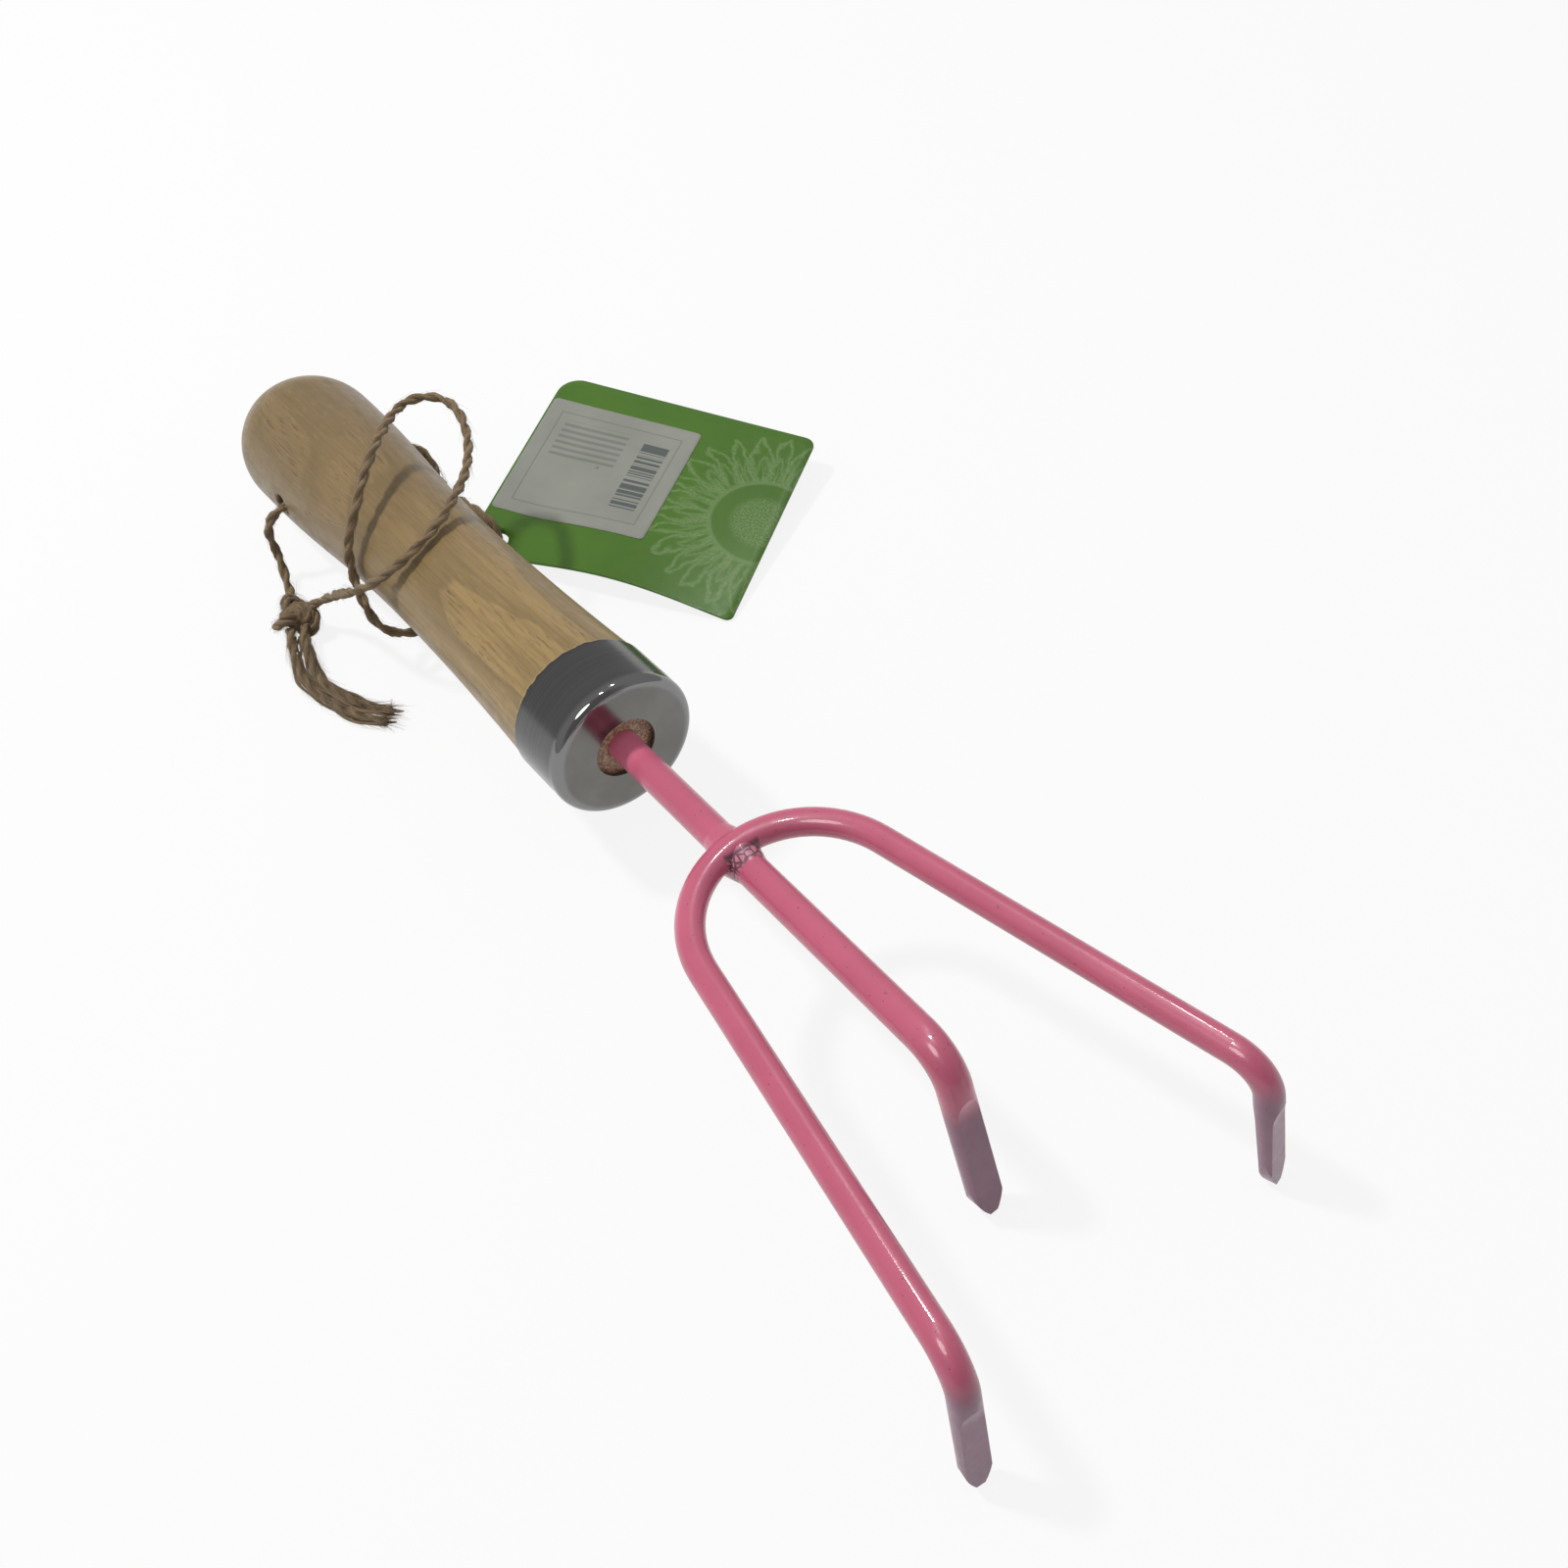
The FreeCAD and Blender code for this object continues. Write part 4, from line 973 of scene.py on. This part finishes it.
card, tree, shader = new_material("printed_card")
laid = put(tree, "ShaderNodeAttribute", attribute_name="lay").outputs["Vector"]
DAISY_MM = (70.0, 32.0, 0.0)
PETALS = 26
petal_ray = put(
    tree, "ShaderNodeVectorMath", {0: laid, 1: DAISY_MM}, operation="SUBTRACT"
).outputs[0]
ray = put(tree, "ShaderNodeSeparateXYZ", {0: petal_ray}).outputs
reach = put(tree, "ShaderNodeVectorMath", {0: petal_ray}, operation="LENGTH").outputs["Value"]
bearing = math_of(tree, "DIVIDE", math_of(tree, "ARCTAN2", ray["Y"], ray["X"]), 2 * math.pi)
wobble = noise(tree, laid, 0.14, 2.0, 0.5)


def petal_lines(tree, count, shift, near, far, width):
    """Outline of a ring of petals, 1 on the line and 0 off it.

    A petal's half-width = 0.46 x square root of (1 - share of its length, squared).
    """
    turned = math_of(
        tree, "ADD", math_of(tree, "MULTIPLY", bearing, count),
        math_of(tree, "MULTIPLY", wobble, 1.1),
    )
    off = math_of(
        tree, "ABSOLUTE",
        math_of(tree, "SUBTRACT", math_of(tree, "FRACT", math_of(tree, "ADD", turned, shift)), 0.5),
    )
    along = ease(tree, reach, near, far)
    rounding = math_of(tree, "SUBTRACT", 1.0, math_of(tree, "MULTIPLY", along, along))
    half = math_of(tree, "MULTIPLY", 0.46, math_of(tree, "SQRT", rounding))
    gap = math_of(tree, "ABSOLUTE", math_of(tree, "SUBTRACT", off, half))
    spacing = math_of(tree, "MULTIPLY", reach, 2 * math.pi / count)
    line = ease(tree, math_of(tree, "MULTIPLY", gap, spacing), width, 0.0)
    inside = math_of(
        tree, "MULTIPLY", ease(tree, reach, near - 0.3, near + 0.5),
        ease(tree, reach, far + 0.5, far - 0.5),
    )
    return math_of(tree, "MULTIPLY", line, inside)


outer_petals = petal_lines(tree, PETALS, 0.0, 13.0, 30.0, 0.95)
inner_petals = petal_lines(tree, PETALS + 9, 0.4, 13.0, 23.0, 0.8)
strokes_seed = put(
    tree, "ShaderNodeCombineXYZ",
    {"X": math_of(tree, "MULTIPLY", bearing, 150.0), "Y": math_of(tree, "MULTIPLY", reach, 0.1)},
).outputs[0]
strokes = ease(tree, noise(tree, strokes_seed, 1.0, 2.0, 0.6), 0.48, 0.64)
strokes = math_of(
    tree, "MULTIPLY", strokes,
    math_of(tree, "MULTIPLY", ease(tree, reach, 12.8, 13.6), ease(tree, reach, 27.0, 15.0)),
)
rim = math_of(
    tree, "MULTIPLY", ease(tree, reach, 12.6, 13.4), ease(tree, reach, 15.2, 13.8)
)
seeds = math_of(
    tree, "MULTIPLY",
    ease(tree, noise(tree, laid, 1.9, 3.0, 0.7), 0.38, 0.66), ease(tree, reach, 9.4, 6.6),
)
print_mask = math_of(
    tree, "MAXIMUM", math_of(tree, "MULTIPLY", outer_petals, 0.42),
    math_of(tree, "MULTIPLY", inner_petals, 0.34),
)
print_mask = math_of(tree, "MAXIMUM", print_mask, math_of(tree, "MULTIPLY", strokes, 0.5))
chalky = noise(tree, laid, 1.3, 3.0, 0.65)
print_mask = math_of(tree, "MULTIPLY", print_mask, ease(tree, chalky, 0.3, 0.62, 0.35, 1.0))
print_mask = math_of(tree, "MAXIMUM", print_mask, math_of(tree, "MULTIPLY", rim, 0.30))
print_mask = math_of(tree, "MAXIMUM", print_mask, math_of(tree, "MULTIPLY", seeds, 0.50))
broad, fine = mottled(tree, laid, 30.0)
green = blend_colour(tree, broad, rgb(78, 120, 34), rgb(72, 112, 32))
green = blend_colour(tree, print_mask, green, rgb(150, 172, 124))
feed(
    tree,
    shader,
    Base_Color=green,
    Roughness=ease(tree, fine, 0.0, 1.0, 0.34, 0.44),
    Normal=bumped(tree, fine, 0.05, 0.0002),
    Coat_Weight=0.12,
    Coat_Roughness=0.18,
    Specular_IOR_Level=0.3,
)
tag = new_piece(
    "swing_tag_card", onto_tool(local.reshape(-1, 3)), grid_faces(rows, columns, True),
    "tag", card, lay,
)
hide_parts("swing_tag")

# ---------------------------------------------------------------- price label
# A matt white self-adhesive label pressed on the card. It carries a thin ruled frame, plain grey
# rules where small print would be and a block of plain stripes; none of them says anything.
LABEL_LEFT, LABEL_NEAR = 0.6, 14.6
LABEL_LONG, LABEL_WIDE = 43.5, 41.0
LABEL_THICK = 0.15
RULE_GAP = 2.1
paper, tree, shader = new_material("label_paper")
laid = put(tree, "ShaderNodeAttribute", attribute_name="lay").outputs["Vector"]
place = put(tree, "ShaderNodeSeparateXYZ", {0: laid}).outputs


def band(tree, value, low, high, soft=0.12):
    """1 between low and high, with soft edges."""
    return math_of(
        tree, "MULTIPLY", ease(tree, value, low - soft, low + soft),
        ease(tree, value, high + soft, high - soft),
    )


def area(tree, left, right, near, far):
    """1 inside a rectangle of the card, in millimetres from the label's near left corner."""
    return math_of(
        tree, "MULTIPLY",
        band(tree, place["X"], LABEL_LEFT + left, LABEL_LEFT + right),
        band(tree, place["Y"], LABEL_NEAR + near, LABEL_NEAR + far),
    )


ruled_frame = math_of(
    tree, "SUBTRACT", area(tree, 4.0, 39.5, 4.0, 37.0), area(tree, 4.35, 39.15, 4.35, 36.65)
)
stripe_seed = put(
    tree, "ShaderNodeCombineXYZ", {"X": 3.7, "Y": math_of(tree, "MULTIPLY", place["Y"], 1.25)}
).outputs[0]
stripes = ease(tree, noise(tree, stripe_seed, 1.0, 1.0, 0.5), 0.47, 0.53)
stripes = math_of(tree, "MULTIPLY", stripes, area(tree, 30.0, 37.4, 8.0, 33.0))
rule = math_of(tree, "FRACT", math_of(tree, "DIVIDE", place["Y"], RULE_GAP))
rules = math_of(tree, "MULTIPLY", ease(tree, rule, 0.25, 0.4), ease(tree, rule, 0.85, 0.7))
rules = math_of(tree, "MULTIPLY", rules, area(tree, 6.5, 25.5, 21.5, 34.5))
ink = math_of(
    tree, "MAXIMUM", math_of(tree, "MULTIPLY", ruled_frame, 0.35),
    math_of(tree, "MULTIPLY", stripes, 0.8),
)
ink = math_of(tree, "MAXIMUM", ink, math_of(tree, "MULTIPLY", rules, 0.35))
broad, fine = mottled(tree, laid, 16.0)
white_paper = blend_colour(tree, broad, rgb(152, 153, 143), rgb(144, 146, 137))
white_paper = blend_colour(tree, ink, white_paper, rgb(66, 76, 80))
feed(
    tree,
    shader,
    Base_Color=white_paper,
    Roughness=0.6,
    Normal=bumped(tree, fine, 0.04, 0.0001),
    Specular_IOR_Level=0.3,
)
outline = rounded_outline(
    LABEL_LEFT, LABEL_LEFT + LABEL_LONG, LABEL_NEAR, LABEL_NEAR + LABEL_WIDE, (1.2,) * 4, steps=5
)
middle = outline.mean(axis=0)
inner = middle + (outline - middle) * 0.004
local, flat = sheet_shell(outline, inner, LABEL_THICK, LABEL_THICK, lip=0.05)
rows, columns = local.shape[:2]
lay = np.concatenate([flat, local[..., 2:] * 0], axis=-1).reshape(-1, 3)
label = new_piece(
    "price_label_sheet", onto_tool(local.reshape(-1, 3)), grid_faces(rows, columns, True),
    "tag", paper, lay,
)
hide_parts("price_label")
